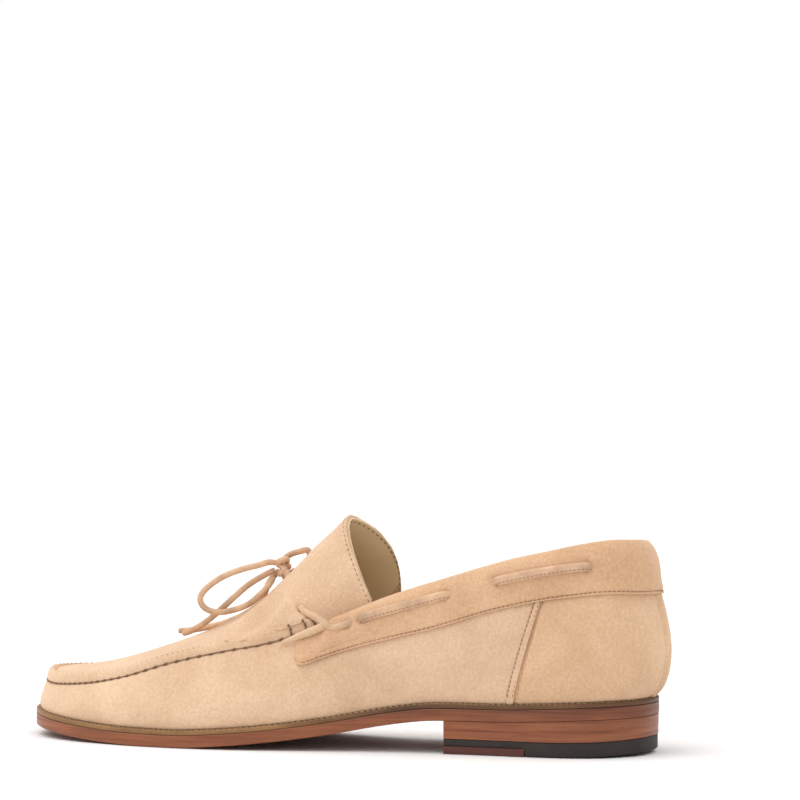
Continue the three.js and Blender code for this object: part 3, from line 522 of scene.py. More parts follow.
# ---------------------------------------------------------------------------------------------
# Outsole: one thickness of leather from toe to heel, its edge trimmed square, its corners
# softened by the iron and a shallow line pressed in below the top corner.
OUTSOLE_EDGE = [
    (0.0005, 0), (0.0001, 0.04), (0.0, 0.1), (0, 0.2), (0, 0.72), (0.0001, 0.765), (0.0001, 0.79),
    (0, 0.83), (0, 0.93), (0.0002, 0.98), (0.0006, 1),
]
WHOLE_SOLE = spaced(0.02, TOE - 0.02, 150)
outsole = slab("outsole", WHOLE_SOLE, 0.0, sole_rise(0), sole_rise(OUTSOLE_THICKNESS), OUTSOLE_EDGE,
               sole_leather)

# ---------------------------------------------------------------------------------------------
# Heel: two leather lifts, a rubber top piece and a dyed leather insert at its front, cut together
# to the heel of the sole and nailed from below.
HEEL_LENGTH = 0.0862
TOP_PIECE_THICKNESS = 0.0066
INSERT_THICKNESS = 0.0033
INSERT_BACK = HEEL_LENGTH - 0.0375
TREAD_CURVE = [
    (0, 0.0015), (0.006, 0.001), (0.014, 0.0005), (0.027, 0.0001), (0.042, 0), (0.043, 0), (0.06, 0),
    (0.09, 0),
]


def station_at(distance):
    """The outer station whose sole edge is that far from the heel."""
    k = np.linspace(0, TOE, 4000)
    return float(np.interp(distance, around(k)[:, 1], k))


def top_piece_top(t):
    """Where the rubber ends and the leather lifts begin."""
    return TOP_PIECE_THICKNESS + height_on(TREAD_CURVE, t)


def block_top(t):
    """The top of the lifts, just under the sole."""
    return height_on(SOLE_CURVE, t) - GAP


def lift_split(t):
    """Where the two lifts meet, halfway up."""
    return (top_piece_top(t) + GAP + block_top(t)) / 2


BREAST = station_at(HEEL_LENGTH)
HEEL_STATIONS = spaced(0.02, BREAST, 60)
LIFT_EDGE = [(0.00006, 0), (0, 0.02), (0, 0.98), (0.00006, 1)]
upper_lift = slab("heel_lift_upper", HEEL_STATIONS, 0.0002, lambda t: lift_split(t) + 0.00002,
                  lambda t: block_top(t) + 0.0002, LIFT_EDGE, sole_leather)
lower_lift = slab("heel_lift_lower", HEEL_STATIONS, 0.0003, lambda t: top_piece_top(t) + 0.00005,
                  lambda t: lift_split(t) - 0.00002, LIFT_EDGE, sole_leather)

rubber = leather_material("heel_rubber", (0.016, 0.011, 0.009), (0.034, 0.024, 0.020), 90, 0.62, 0.3)
insert_leather = leather_material("heel_insert_leather", (0.062, 0.0145, 0.0105), (0.12, 0.033, 0.024), 80,
                                  0.5, 0.2, 0.5)
RUBBER_EDGE = [(0.0007, 0), (0.0002, 0.05), (0, 0.14), (0, 0.9), (0.0001, 0.96), (0.0004, 1)]
BACK_STATION = station_at(INSERT_BACK)
rubber_stations = np.unique(np.concatenate([
    HEEL_STATIONS, [BACK_STATION - 0.012, BACK_STATION + 0.012]]))


def tread(t):
    """Underside of the rubber: on the floor behind, over the leather insert in front."""
    over_insert = INSERT_THICKNESS + 0.00008
    return np.where(t > INSERT_BACK, over_insert, height_on(TREAD_CURVE, t))


top_piece = slab("heel_top_piece", rubber_stations, 0.0006, tread, top_piece_top, RUBBER_EDGE, rubber)
insert = slab("heel_insert", spaced(BACK_STATION + 0.014, BREAST, 24), 0.0006, lambda t: 0.00002 + 0 * t,
              lambda t: INSERT_THICKNESS + 0 * t, LIFT_EDGE, insert_leather)

# ---------------------------------------------------------------------------------------------
# Welt: a strip of waxed leather round the whole shoe, between the upper and the sole, with its
# lockstitch lying in a groove near the edge.
welt_leather = leather_material("welt_leather", (0.18, 0.082, 0.027), (0.36, 0.185, 0.07), 110, 0.45,
                                0.25, 0, ("Y", -0.02, 0.04, (0.42, 0.36, 0.34)))
WELT_SECTION = [
    (WELT_WIDTH, 0), (WELT_WIDTH, 1), (0.004, 1), (0.0024, 1), (0.0019, 0.98), (0.0016, 0.88),
    (0.00135, 0.88), (0.0011, 0.98), (0.0006, 1), (0.0002, 0.93), (0, 0.78), (0, 0.22), (0.0002, 0.06),
    (0.0005, 0),
]
WELT_STATIONS = np.linspace(0, 2 * TOE, 641)[:-1]


def welt_ring(inset, share):
    """One line round the welt: inset from the edge, at a share of its thickness."""
    x, t = sole_edge(WELT_STATIONS, inset)
    return place(x, t, height_on(SOLE_CURVE, t) + OUTSOLE_THICKNESS + 0.00005
                 + (WELT_THICKNESS + GAP) * share)


welt_points = np.stack([welt_ring(inset, share) for inset, share in WELT_SECTION], 1)
welt = mesh_piece("welt", welt_points.reshape(-1, 3),
                  grid_faces(*welt_points.shape[:2], wrap_columns=True, wrap_rows=True), welt_leather, 40)
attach(welt, "shoe")
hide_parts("welt")


def thread_material(name, colour, roughness=0.7):
    """Waxed linen thread, with its twist as a fine ripple."""
    material, tree, shader, where = start_material(name, roughness)
    fibre = noise_texture(tree, where, 900)
    colour_from(tree, fibre, shader, (0, tinted(colour, 0.7)), (1, tinted(colour, 1.25)))
    twist = tree.nodes.new("ShaderNodeTexWave")
    twist.inputs["Scale"].default_value = 900
    twist.inputs["Distortion"].default_value = 1.5
    tree.links.new(where, twist.inputs["Vector"])
    relief_from(tree, twist.outputs["Fac"], shader, 0.4, 0.0001)
    return material


# One stitch: a short length of thread whose two ends dip into the leather.
bpy.ops.object.select_all(action="DESELECT")
bpy.ops.mesh.primitive_uv_sphere_add(segments=8, ring_count=6, radius=1, rotation=(0, math.pi / 2, 0))
stitch = bpy.context.object
bpy.ops.object.transform_apply(location=False, rotation=True, scale=False)
STITCH_POINTS = np.array([v.co for v in stitch.data.vertices])
STITCH_FACES = [tuple(p.vertices) for p in stitch.data.polygons]
STITCH_POINTS[:, 2] -= 0.35 * STITCH_POINTS[:, 0] ** 2
bpy.data.objects.remove(stitch)


def stitches(name, points, along, normals, length, thickness, material, rides=True, skew=0.0):
    """A row of stitches at the points, half sunk in the surface whose normals are given."""
    points, along, normals = np.asarray(points), unit(np.asarray(along)), unit(np.asarray(normals))
    along = unit(along - normals * np.sum(along * normals, -1, keepdims=True))
    across = np.cross(normals, along)
    along = unit(along + skew * across)
    across = np.cross(normals, along)
    scale = np.array([length / 2, thickness / 2, thickness / 2])
    shaped = STITCH_POINTS * scale
    placed = (points[:, None, :] + shaped[None, :, :1] * along[:, None, :]
              + shaped[None, :, 1:2] * across[:, None, :] + shaped[None, :, 2:3] * normals[:, None, :])
    count = len(STITCH_POINTS)
    faces = [tuple(i * count + v for v in face) for i in range(len(points)) for face in STITCH_FACES]
    piece = mesh_piece(name, placed.reshape(-1, 3), faces, material, 60)
    if rides:
        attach(piece, "shoe")
    return piece


welt_thread = thread_material("welt_thread", (0.44, 0.27, 0.13))
welt_line = np.stack([*sole_edge(WELT_STATIONS, 0.0015)], -1)
welt_line = place(welt_line[:, 0], welt_line[:, 1],
                  height_on(SOLE_CURVE, welt_line[:, 1]) + WELT_TOP + 0.0001)
spots, ways = evenly(np.concatenate([welt_line, welt_line[:1]]), 0.0026)
stitches("welt_stitching", spots, ways, np.tile((0, 0, 1.0), (len(spots), 1)), 0.0024, 0.0006,
         welt_thread)

# ---------------------------------------------------------------------------------------------
# Suede of the upper: split leather with a short brushed nap. The nap lies in drifts, lighter or
# darker as it has been stroked, over a fine matt pile.
def suede_material(name, dark, middle, light):
    material, tree, shader, where = start_material(name, 0.95, 0.12)
    shader.inputs["Sheen Weight"].default_value = 0.35
    shader.inputs["Sheen Roughness"].default_value = 0.5
    shader.inputs["Sheen Tint"].default_value = (1.0, 0.86, 0.72, 1)

    def blend_in(value, share, base):
        """share of the value added to a base, which is a number or another value."""
        total = tree.nodes.new("ShaderNodeMath")
        total.operation = "MULTIPLY_ADD"
        total.inputs[1].default_value = share
        tree.links.new(value, total.inputs[0])
        if isinstance(base, float):
            total.inputs[2].default_value = base
        else:
            tree.links.new(base, total.inputs[2])
        return total.outputs["Value"]

    drifts = noise_texture(tree, where, 26, 4, distortion=0.6)
    speckle = noise_texture(tree, where, 760, 6, 0.7)
    nap = blend_in(speckle, 0.62, blend_in(drifts, 0.6, 0.2))
    colour_from(tree, nap, shader, (0.6, dark), (1.0, light), (0.8, middle))
    relief_from(tree, noise_texture(tree, where, 1900, 5, 0.75), shader, 0.5, 0.0003)
    return material


suede = suede_material("suede", (0.55, 0.345, 0.214), (0.665, 0.445, 0.285), (0.79, 0.56, 0.378))
SUEDE = 0.0014
REAR_SEAM = 3.93
SEAM_STRIP = 0.155
COLLAR_LAP = 0.0155
THREAD_PITCH_TOE = 0.0033
THREAD_PITCH_REAR = 0.0055


def hollow_drop(k):
    """How far below the top line the suede wall stops, where the collar covers it."""
    s = half_station(k)
    shoulder = 0.006
    return np.where(s > 9.25, 0.0001, np.where(
        s > 8.9, 0.0001 + (shoulder - 0.0001) * (1 - ease((s - 8.9) / 0.35)),
        shoulder + (COLLAR_LAP - shoulder) * (1 - ease((s - 7.8) / 1.1))))


def seam_run(k_values):
    """Distance along the moccasin seam at each station, from the first one."""
    line = top_line(k_values)
    return np.concatenate([[0], np.cumsum(np.linalg.norm(np.diff(line, axis=0), axis=1))])


def drift(points, size, seed):
    """Slow random swelling over a surface, about -1 to 1, the same every time."""
    flat = points.reshape(-1, 3)
    values = [noise.noise(Vector((p[0] / size + seed, p[1] / size, p[2] / size))) for p in flat]
    return np.array(values).reshape(points.shape[:-1])


def solid_sheet(piece, thickness, edge=0.0003):
    """Gives a surface its thickness, inwards, and softens its cut edges."""
    take_up(piece)
    wall_thickness = piece.modifiers.new("thickness", "SOLIDIFY")
    wall_thickness.thickness = thickness
    wall_thickness.offset = -1
    bpy.ops.object.modifier_apply(modifier=wall_thickness.name)
    if edge:
        soft = piece.modifiers.new("edge", "BEVEL")
        soft.width = edge
        soft.segments = 2
        soft.limit_method = "ANGLE"
        soft.angle_limit = math.radians(60)
        bpy.ops.object.modifier_apply(modifier=soft.name)
    bpy.ops.object.shade_smooth_by_angle(angle=math.radians(50))


def outward(piece):
    """Turns an open surface to face away from the middle of the shoe, if it faces inwards."""
    centre = Vector((LAST_X, BACK_Y - 0.14, 0.03))
    facing = sum((p.center - centre).dot(p.normal) * p.area for p in piece.data.polygons)
    if facing < 0:
        take_up(piece)
        bpy.ops.object.mode_set(mode="EDIT")
        bpy.ops.mesh.select_all(action="SELECT")
        bpy.ops.mesh.flip_normals()
        bpy.ops.object.mode_set(mode="OBJECT")


WALL_ROWS = 46
TUCK = [(0.0046, -0.0007), (0.0034, -0.0004), (0.0027, 0.0)]


def wall_grid(stations, drop, relief):
    """Columns of points up the wall from the welt to the drop, pushed out by relief(k, drop)."""
    stations = np.asarray(stations, float)
    top_rise = 1 - drop(stations) / wall_height(stations)
    share = np.linspace(0, 1, WALL_ROWS) ** 1.35
    rise = 0.004 + (top_rise[:, None] - 0.004) * share[None, :]
    k = np.repeat(stations[:, None], WALL_ROWS, 1)
    points = wall(k, rise)
    below_top = (1 - rise) * wall_height(k)
    points = points + wall_normal(k, np.minimum(rise, 0.98)) * relief(k, below_top)[..., None]
    tucks = [feather_point(stations, inset) + np.array((0, 0, lift)) for inset, lift in TUCK]
    return np.concatenate([np.stack(tucks, 1), points], 1)


def thread_pitch(s):
    """Distance between turns of the moccasin seam's thread, closer at the toe."""
    return THREAD_PITCH_REAR + (THREAD_PITCH_TOE - THREAD_PITCH_REAR) * ease((s - 11.5) / 3)


# ---------------------------------------------------------------------------------------------
# Vamp: one piece of suede from one rear seam round the toe to the other, drawn over the last and
# lasted under the insole. It is gathered a little into the moccasin seam, so it puckers there.
def pucker(k, below):
    """Small gathers along the moccasin seam, one to a stitch, fading down the wall."""
    order = np.argsort(k[:, 0])
    run = np.empty(len(order))
    run[order] = seam_run(k[order, 0])
    s = half_station(k[:, 0])
    pitch = thread_pitch(s)
    turns = np.concatenate([[0], np.cumsum(np.diff(run) / ((pitch[1:] + pitch[:-1]) / 2))])
    wave = np.abs(np.sin(math.pi * turns))[:, None] - 0.6
    front = ease((s - 9.3) / 0.6)[:, None]
    near = np.exp(-np.maximum(below, 0) / 0.0016)
    rolled = -0.0007 * np.exp(-np.maximum(below, 0) / 0.0009)
    return front * (0.00042 * wave * near + rolled)


def vamp_relief(k, below):
    """Gathers at the seam, a slow swell, the raised strip of the rear seam and a slight crease."""
    s = half_station(k)
    swell = 0.00035 * drift(wall(k, 1 - below / wall_height(k)), 0.022, 3.0)
    strip = s - REAR_SEAM
    ridge = 0.00055 * (1 - ease((strip - SEAM_STRIP + 0.03) / 0.045))
    ridge = ridge - 0.0004 * np.exp(-((strip - SEAM_STRIP) / 0.018) ** 2)
    ridge = ridge * ease((strip + 0.012) / 0.02)
    crease = 0.00045 * np.exp(-((s - 9.75 - below / 0.08) / 0.16) ** 2) * np.exp(-below / 0.014)
    return pucker(k, below) + swell * 0.8 + ridge - crease


def joined(*spans):
    """Stations over spans of (first, last, count) that follow one another."""
    rows = [np.linspace(*span) for span in spans]
    return np.concatenate([*[row[:-1] for row in rows[:-1]], rows[-1]])


VAMP_STATIONS = joined((REAR_SEAM, REAR_SEAM + 0.3, 26), (REAR_SEAM + 0.3, 9.2, 84), (9.2, 24.8, 460),
                       (24.8, 33.7 - REAR_SEAM, 84), (33.7 - REAR_SEAM, 34 - REAR_SEAM, 26))
vamp_points = wall_grid(VAMP_STATIONS, hollow_drop, vamp_relief)
vamp = mesh_piece("vamp", vamp_points.reshape(-1, 3), grid_faces(*vamp_points.shape[:2]), suede, 60)
outward(vamp)
solid_sheet(vamp, SUEDE)
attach(vamp, "shoe")
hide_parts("vamp")


# ---------------------------------------------------------------------------------------------
# Quarters: two back panels, tucked under the vamp's strip at the front and closed up the middle
# of the heel, where a narrow piping stands proud of the seam.
def quarter_relief(k, below):
    """A slow swell, the part tucked under the strip, and the piping up the heel."""
    s = half_station(k)
    swell = 0.0003 * drift(wall(k, 1 - below / wall_height(k)), 0.02, 9.0)
    under = -0.0007 * ease((s - REAR_SEAM + 0.09) / 0.05)
    piping = 0.0009 * np.exp(-(s / 0.075) ** 2) - 0.0004 * np.exp(-((s - 0.17) / 0.05) ** 2)
    return swell + under + piping


QUARTER_STATIONS = joined((0.006, 0.5, 30), (0.5, REAR_SEAM - 0.1, 84),
                          (REAR_SEAM - 0.1, REAR_SEAM + 0.05, 12))
quarter_suede = suede_material("quarter_suede", (0.54, 0.328, 0.195), (0.65, 0.418, 0.256),
                               (0.775, 0.528, 0.342))
for name, stations in (("quarter_outer", QUARTER_STATIONS), ("quarter_inner", -QUARTER_STATIONS[::-1])):
    grid = wall_grid(stations, hollow_drop, quarter_relief)
    quarter = mesh_piece(name, grid.reshape(-1, 3), grid_faces(*grid.shape[:2]), quarter_suede, 60)
    outward(quarter)
    solid_sheet(quarter, SUEDE * 0.9)
    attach(quarter, "shoe")
    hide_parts(name)

# ---------------------------------------------------------------------------------------------
# Rear seams: two rows of fine thread on each side, one at each edge of the raised strip, sewn
# through the strip and the quarter under it.
fine_thread = thread_material("fine_thread", (0.30, 0.165, 0.085))
SEAM_STOP = 0.021
for side, sign in (("outer", 1), ("inner", -1)):
    for row, offset in (("front", SEAM_STRIP - 0.012), ("rear", 0.03)):
        k = sign * (REAR_SEAM + offset)
        rises = np.linspace(0.06, 1 - SEAM_STOP / float(wall_height(np.array(k))), 60)
        line = wall(np.full(60, k), rises)
        spots, ways = evenly(line, 0.0021)
        rise_at = np.linspace(rises[0], rises[-1], len(spots))
        outs = wall_normal(np.full(len(spots), k), rise_at)
        stitches(f"rear_seam_{row}_{side}", spots + outs * 0.00042, ways, outs, 0.0017, 0.0006,
                 fine_thread, skew=0.15)

# ---------------------------------------------------------------------------------------------
# Lining: pale calf leather behind the quarters and the vamp, and over the sock. It is smooth, a
# little yellow, and gone dull where the foot slides over it.
lining_leather = leather_material("lining_leather", (0.62, 0.45, 0.25), (0.76, 0.58, 0.35), 34, 0.6, 0.2)
LINING = 0.001
STIFFENER = 0.0012
LINING_DEPTH = SUEDE + 0.00035


def stiffened(k):
    """1 where the heel counter or the toe puff lies behind the suede, 0 elsewhere."""
    s = half_station(k)
    return np.maximum(1 - ease((s - 5.2) / 1), ease((s - 13.6) / 1))


def lining_piece(name, stations, drop):
    """A lining sheet up the inside of the wall, to a drop below the top line."""
    rows = 30
    foot = 0.0034 / wall_height(stations)
    top = 1 - drop(stations) / wall_height(stations)
    rise = foot[:, None] + (top - foot)[:, None] * np.linspace(0, 1, rows)[None, :]
    k = np.repeat(stations[:, None], rows, 1)
    depth = LINING_DEPTH + (STIFFENER + GAP) * stiffened(k)
    points = wall(k, rise) - wall_normal(k, np.minimum(rise, 0.98)) * depth[..., None]
    piece = mesh_piece(name, points.reshape(-1, 3), grid_faces(*points.shape[:2]), lining_leather, 60)
    outward(piece)
    solid_sheet(piece, LINING, 0)
    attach(piece, "shoe")
    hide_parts(name)


lining_piece("quarter_lining", np.linspace(-8, 8, 220), lambda k: 0.0050 + 0 * k)
lining_piece("vamp_lining", np.linspace(8.04, 25.96, 240), lambda k: 0.0022 + 0.0063 * (
    1 - ease((half_station(k) - 8.9) / 0.7)))

# ---------------------------------------------------------------------------------------------
# Sock: a thin leather cover glued over the insole board from heel to toe. It lies a little higher
# at the back, where the soft heel pad is under it.
INSOLE_LOW = FEATHER + SUEDE + GAP
PAD_LOW = INSOLE_LOW + 0.002 + GAP
PAD_LENGTH = 0.078


def sock_low(t):
    """Underside of the sock, raised where the heel pad lies under it."""
    slope = (t / PAD_LENGTH - 0.45) / 0.55
    over_pad = 0.0005 + 0.0025 * (1 - ease(slope)) + GAP
    beyond = 0.0008 * (1 - ease((t - PAD_LENGTH - 0.002) / 0.012))
    return height_on(SOLE_CURVE, t) + PAD_LOW + np.where(t < PAD_LENGTH + 0.002, over_pad, beyond)


sock = slab("sock_liner", WHOLE_SOLE, 0.0081, sock_low, lambda t: sock_low(t) + 0.0012,
            [(0, 0), (0, 0.8), (0.0003, 1)], lining_leather)

# ---------------------------------------------------------------------------------------------
# Collar: a band of suede folded over the top line, padded by the lace that runs inside it, and
# sewn down along its lower edge. In front it flattens into a wing that laps onto the vamp.
collar_suede = suede_material("collar_suede", (0.50, 0.29, 0.165), (0.635, 0.39, 0.23), (0.74, 0.495, 0.31))
COLLAR_FRONT = 9.2
COLLAR_BAND = 0.023
COLLAR_SKIN = 0.0012
COLLAR_PUFF = 0.0016
COLLAR_LIP = 0.0048
WING_LEAN = 13.0


def wing_flat(s):
    """0 where the collar is rolled, 1 where it has become the flat wing."""
    return ease((s - 8.35) / 0.4)


def band_width(s):
    """How far down the collar reaches: it narrows towards the front."""
    return COLLAR_BAND - 0.0045 * ease((s - 5.5) / 3)


def collar_section(k):
    """Drop and out of the collar's outline at a station: rolled at the back, flat in front."""
    s = abs(k)
    flat = float(wing_flat(s))
    band = float(band_width(s))
    low, high = 0.0001, GAP + COLLAR_SKIN
    puff = COLLAR_PUFF * (1 - flat)
    stitched = [
        (band, low), (band + 0.0001, high * 0.5), (band - 0.0001, high * 0.86),
        (band - 0.0005, high * 0.92), (band - 0.0008, high * 0.76), (band - 0.0011, high * 0.56),
        (band - 0.0014, high * 0.78), (band - 0.002, high * 1.06), (band - 0.0045, high * 1.12),
    ]
    roll = [
        *stitched, (0.0155, high + puff * 0.25), (0.013, high + puff * 0.62), (0.0108, high + puff * 0.9),
        (0.0086, high + puff), (0.006, high + puff * 0.98), (0.0036, high + puff * 0.85),
        (0.0016, high + 0.0007), (0.0002, high + 0.0001), (-0.0008, 0.0007), (-0.0011, -0.0003),
        (-0.0009, -0.0016), (-0.0001, -0.0026), (0.0012, -0.003), (COLLAR_LIP, -0.0029),
        (COLLAR_LIP + 0.0001, -0.0018), (0.0012, -0.0017), (0.0004, -0.0002), (0.003, low + puff * 0.7),
        (0.008, low + puff), (0.013, low + puff * 0.6), (band - 0.005, low),
    ]
    shares = np.linspace(0, 1, 9)[1:7]
    wing = [
        *stitched, *[(band - 0.0045 + (0.0042 - band + 0.0045) * share, high) for share in shares],
        (0.0036, high), (0.0032, high * 0.9), (0.003, high * 0.6), (0.003, high * 0.4),
        (0.0031, low * 2), (0.0033, low), (0.0036, low), (0.004, low), (0.0045, low), (0.005, low),
        (0.0055, low), (0.006, low), (0.008, low), (0.011, low), (band - 0.005, low),
    ]
    return np.array([(a[0] + (b[0] - a[0]) * flat, a[1] + (b[1] - a[1]) * flat)
                     for a, b in zip(roll, wing)]), flat


def rounded_front(s):
    """The wing's front corner is cut round: its band narrows over the last few millimetres."""
    left = np.clip((COLLAR_FRONT - s) / 0.26, 0, 1)
    return 0.0062 * (1 - math.sqrt(max(0.0, 1 - (1 - left) ** 2)))


collar_rings = []
COLLAR_STATIONS = joined((-COLLAR_FRONT, -9, 9), (-9, -8.3, 14), (-8.3, 8.3, 170), (8.3, 9, 14),
                         (9, COLLAR_FRONT, 9))
for k in COLLAR_STATIONS:
    outline, flat = collar_section(k)
    drops, outs = outline[:, 0].copy(), outline[:, 1].copy()
    cut_up = rounded_front(abs(k))
    lowness = np.clip((drops - 0.008) / 0.01, 0, 1)
    drops = drops - cut_up * lowness
    stations = k - np.sign(k) * flat * WING_LEAN * drops
    collar_rings.append(on_wall(stations, drops, outs))
collar_rings = np.array(collar_rings)
sides = collar_rings.shape[1]
ring_faces = grid_faces(*collar_rings.shape[:2], wrap_rows=True)
last_ring = (len(collar_rings) - 1) * sides
ends = [tuple(range(sides)), tuple(range(last_ring + sides - 1, last_ring - 1, -1))]
collar = mesh_piece("collar", collar_rings.reshape(-1, 3), ring_faces + ends, collar_suede, 50)

# ---------------------------------------------------------------------------------------------
# The held lace: from the knot under the apron, out at its side, over the rim to the wing, then in
# and out of the collar's slots to the heel and round. Rolled flat, it has a row of stitches.
LACE_WIDTH = 0.0041
LACE_THICKNESS = 0.0024
LACE_ROUND_RADIUS = 0.00168
LACE_ROUND_FROM = 0.127
LACE_IN = 0.0001
LACE_OUT = GAP + COLLAR_PUFF + COLLAR_SKIN + GAP + 0.0005
# Station, drop and out of the lace along the collar, then x, t and z of its front.
LACE_RUN = [
    (0, 0.0104, LACE_IN), (0.8, 0.0104, LACE_IN), (1.6, 0.0105, LACE_IN), (2.3, 0.0106, LACE_IN),
    (2.66, 0.0106, 0.0014), (2.78, 0.0105, LACE_OUT - 0.0006), (2.95, 0.0104, LACE_OUT),
    (3.5, 0.01, LACE_OUT), (4.2, 0.0094, LACE_OUT), (4.85, 0.0091, LACE_OUT),
    (4.98, 0.009, LACE_OUT - 0.0006), (5.08, 0.0089, 0.0014), (5.38, 0.0087, LACE_IN),
    (5.62, 0.0085, LACE_IN), (5.86, 0.0083, 0.0014), (5.96, 0.0082, LACE_OUT - 0.0006),
    (6.1, 0.0081, LACE_OUT), (6.6, 0.0078, LACE_OUT), (7.1, 0.0072, LACE_OUT), (7.42, 0.0068, LACE_OUT),
    (7.52, 0.0067, LACE_OUT - 0.0006), (7.6, 0.0066, 0.0014), (7.74, 0.0064, 0.0008),
    (7.88, 0.0062, 0.0024),
]
LACE_FRONT = [
    (0.0352, 0.1362, 0.0538), (0.0350, 0.1398, 0.0550), (0.0336, 0.1441, 0.0570), (0.0318, 0.1483, 0.0587),
    (0.0304, 0.1517, 0.0600), (0.0284, 0.1544, 0.0613), (0.0245, 0.1578, 0.0596), (0.0196, 0.1606, 0.0622),
    (0.0140, 0.1634, 0.0656), (0.0090, 0.1662, 0.0684), (0.0064, 0.1686, 0.0720), (0.0050, 0.1708, 0.0756),
]
INNER_NARROWER = 0.93


def lace_side(sign):
    """The held lace on one side of the shoe, from the heel forward."""
    run = [on_wall(np.array(sign * k), drop, out) for k, drop, out in LACE_RUN]
    if sign > 0:
        return run + [place(x, t, z) for x, t, z in LACE_FRONT]
    return run + [place(-x * INNER_NARROWER, t + 0.001, z) for x, t, z in LACE_FRONT]


lace_route = np.array(lace_side(-1)[::-1] + lace_side(1)[1:])
lace_fine = through(lace_route, np.linspace(0, len(lace_route) - 1, 3000))
lace_path, lace_along = evenly(lace_fine, 0.0008)
outwards = lace_path * (1, 0.25, 0)
lace_section = np.array([
    (LACE_THICKNESS / 2 * abs(math.cos(a)) ** 0.8 * math.copysign(1, math.cos(a)),
     LACE_WIDTH / 2 * abs(math.sin(a)) ** 0.8 * math.copysign(1, math.sin(a)))
    for a in np.linspace(0, 2 * math.pi, 21)[:-1]])
lace_round = np.array([(LACE_ROUND_RADIUS * math.cos(a), LACE_ROUND_RADIUS * math.sin(a))
                       for a in np.linspace(0, 2 * math.pi, 21)[:-1]])
flat_rings = lace_rings(lace_path, lace_section, tip=0.1, sideways=outwards)
round_rings = lace_rings(lace_path, lace_round, tip=0.1, sideways=outwards)
roundness = ease((BACK_Y - lace_path[:, 1] - LACE_ROUND_FROM) / 0.006)[:, None, None]
lace = tube("lace", flat_rings + (round_rings - flat_rings) * roundness, lace_leather)
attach(lace, "shoe")
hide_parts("lace")

# ---------------------------------------------------------------------------------------------
# Slots: short cuts in the collar's skin that the lace passes through. The skin turns in a little
# at each one, and is slightly uneven between them.
SLOT_PLACES = [(2.7, 0.0106), (5.04, 0.0089), (5.9, 0.0083), (7.57, 0.0066), (7.9, 0.0062)]
slot_points = [on_wall(np.array(sign * k), drop, 0.0031) for sign in (1, -1)
               for k, drop in SLOT_PLACES]
smooth = collar.modifiers.new("smooth", "SUBSURF")
smooth.levels = smooth.render_levels = 1
take_up(collar)
bpy.ops.object.modifier_apply(modifier=smooth.name)
co = np.array([v.co for v in collar.data.vertices])
normals = np.array([v.normal for v in collar.data.vertices])
push = np.zeros(len(co))
for spot in slot_points:
    near = np.linalg.norm(co - spot, axis=1)
    push = np.maximum(push, 0.0018 * np.exp(-(near / 0.0022) ** 2))
co = co - normals * push[:, None]
co += normals * (0.00022 * drift(co, 0.017, 21.0))[:, None]
collar.data.vertices.foreach_set("co", co.ravel())
collar.data.update()
bpy.ops.object.shade_smooth_by_angle(angle=math.radians(50))
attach(collar, "shoe")
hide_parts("collar")

# ---------------------------------------------------------------------------------------------
# Collar seam: fine stitches in a groove just above the collar's cut edge, which sew it down to
# the vamp and quarters.
seam_stations = np.linspace(-COLLAR_FRONT + 0.12, COLLAR_FRONT - 0.12, 900)
seam_drops = band_width(np.abs(seam_stations)) - 0.0011
seam_drops = seam_drops - np.array([rounded_front(abs(k) + 0.05) for k in seam_stations])
seam_flat = wing_flat(np.abs(seam_stations))
seam_places = seam_stations - np.sign(seam_stations) * seam_flat * WING_LEAN * seam_drops
seam_line = on_wall(seam_places, seam_drops, 0.00105)
spots, ways = evenly(seam_line, 0.0021)
share = np.linspace(0, 1, len(spots))
station_at_spot = np.interp(share, np.linspace(0, 1, len(seam_places)), seam_places)
collar_outs = wall_normal(station_at_spot, np.full(len(spots), 0.7))
stitches("collar_stitching", spots, ways, collar_outs, 0.0017, 0.0005, fine_thread, skew=0.12)

# ---------------------------------------------------------------------------------------------
# Lace stitching: the strip is rolled round a core and closed by fine stitches, which lie in its
# lower third on the outer side.
lace_side_way = unit(outwards - lace_along * np.sum(outwards * lace_along, -1, keepdims=True))
lace_up = np.cross(lace_side_way, lace_along)
lace_up = lace_up * np.sign(lace_up[:, 2:3] + 1e-9)
sewn = lace_path + lace_side_way * LACE_THICKNESS * 0.47 - lace_up * LACE_WIDTH * 0.22
spots, ways = evenly(sewn, 0.0019)
share = np.linspace(0, 1, len(spots))
faces_out = np.stack([np.interp(share, np.linspace(0, 1, len(sewn)), (lace_side_way - 0.5 * lace_up)[:, i])
                      for i in range(3)], -1)
lace_thread = thread_material("lace_thread", (0.24, 0.12, 0.06))
stitches("lace_stitching", spots, ways, faces_out, 0.0014, 0.00038, lace_thread)

# ---------------------------------------------------------------------------------------------
# Apron and tongue: one sheet of suede over the foot. Its edge is turned up in a rim along the
# moccasin seam; behind the seam its sides run down inside the collar and it stands up as a tongue.
CROWN = [
    (0.266, 0.0306), (0.2653, 0.0307), (0.261, 0.0316), (0.25, 0.0342), (0.234, 0.0389), (0.214, 0.046),
    (0.196, 0.054), (0.184, 0.0624), (0.1735, 0.0712), (0.1665, 0.0782), (0.1585, 0.0864),
    (0.15, 0.094), (0.1428, 0.101),
]
TONGUE_SIDES = [
    (0.0274, 0.1405, 0.0515, -0.0256, 0.14, 0.052), (0.0253, 0.1305, 0.0515, -0.0252, 0.1328, 0.0545),
    (0.0246, 0.1228, 0.053, -0.025, 0.1288, 0.058), (0.0244, 0.1183, 0.055, -0.025, 0.1268, 0.06),
]
APRON_END = TOE - 9
TONGUE_END = 12
INNER_LAG = 2.6
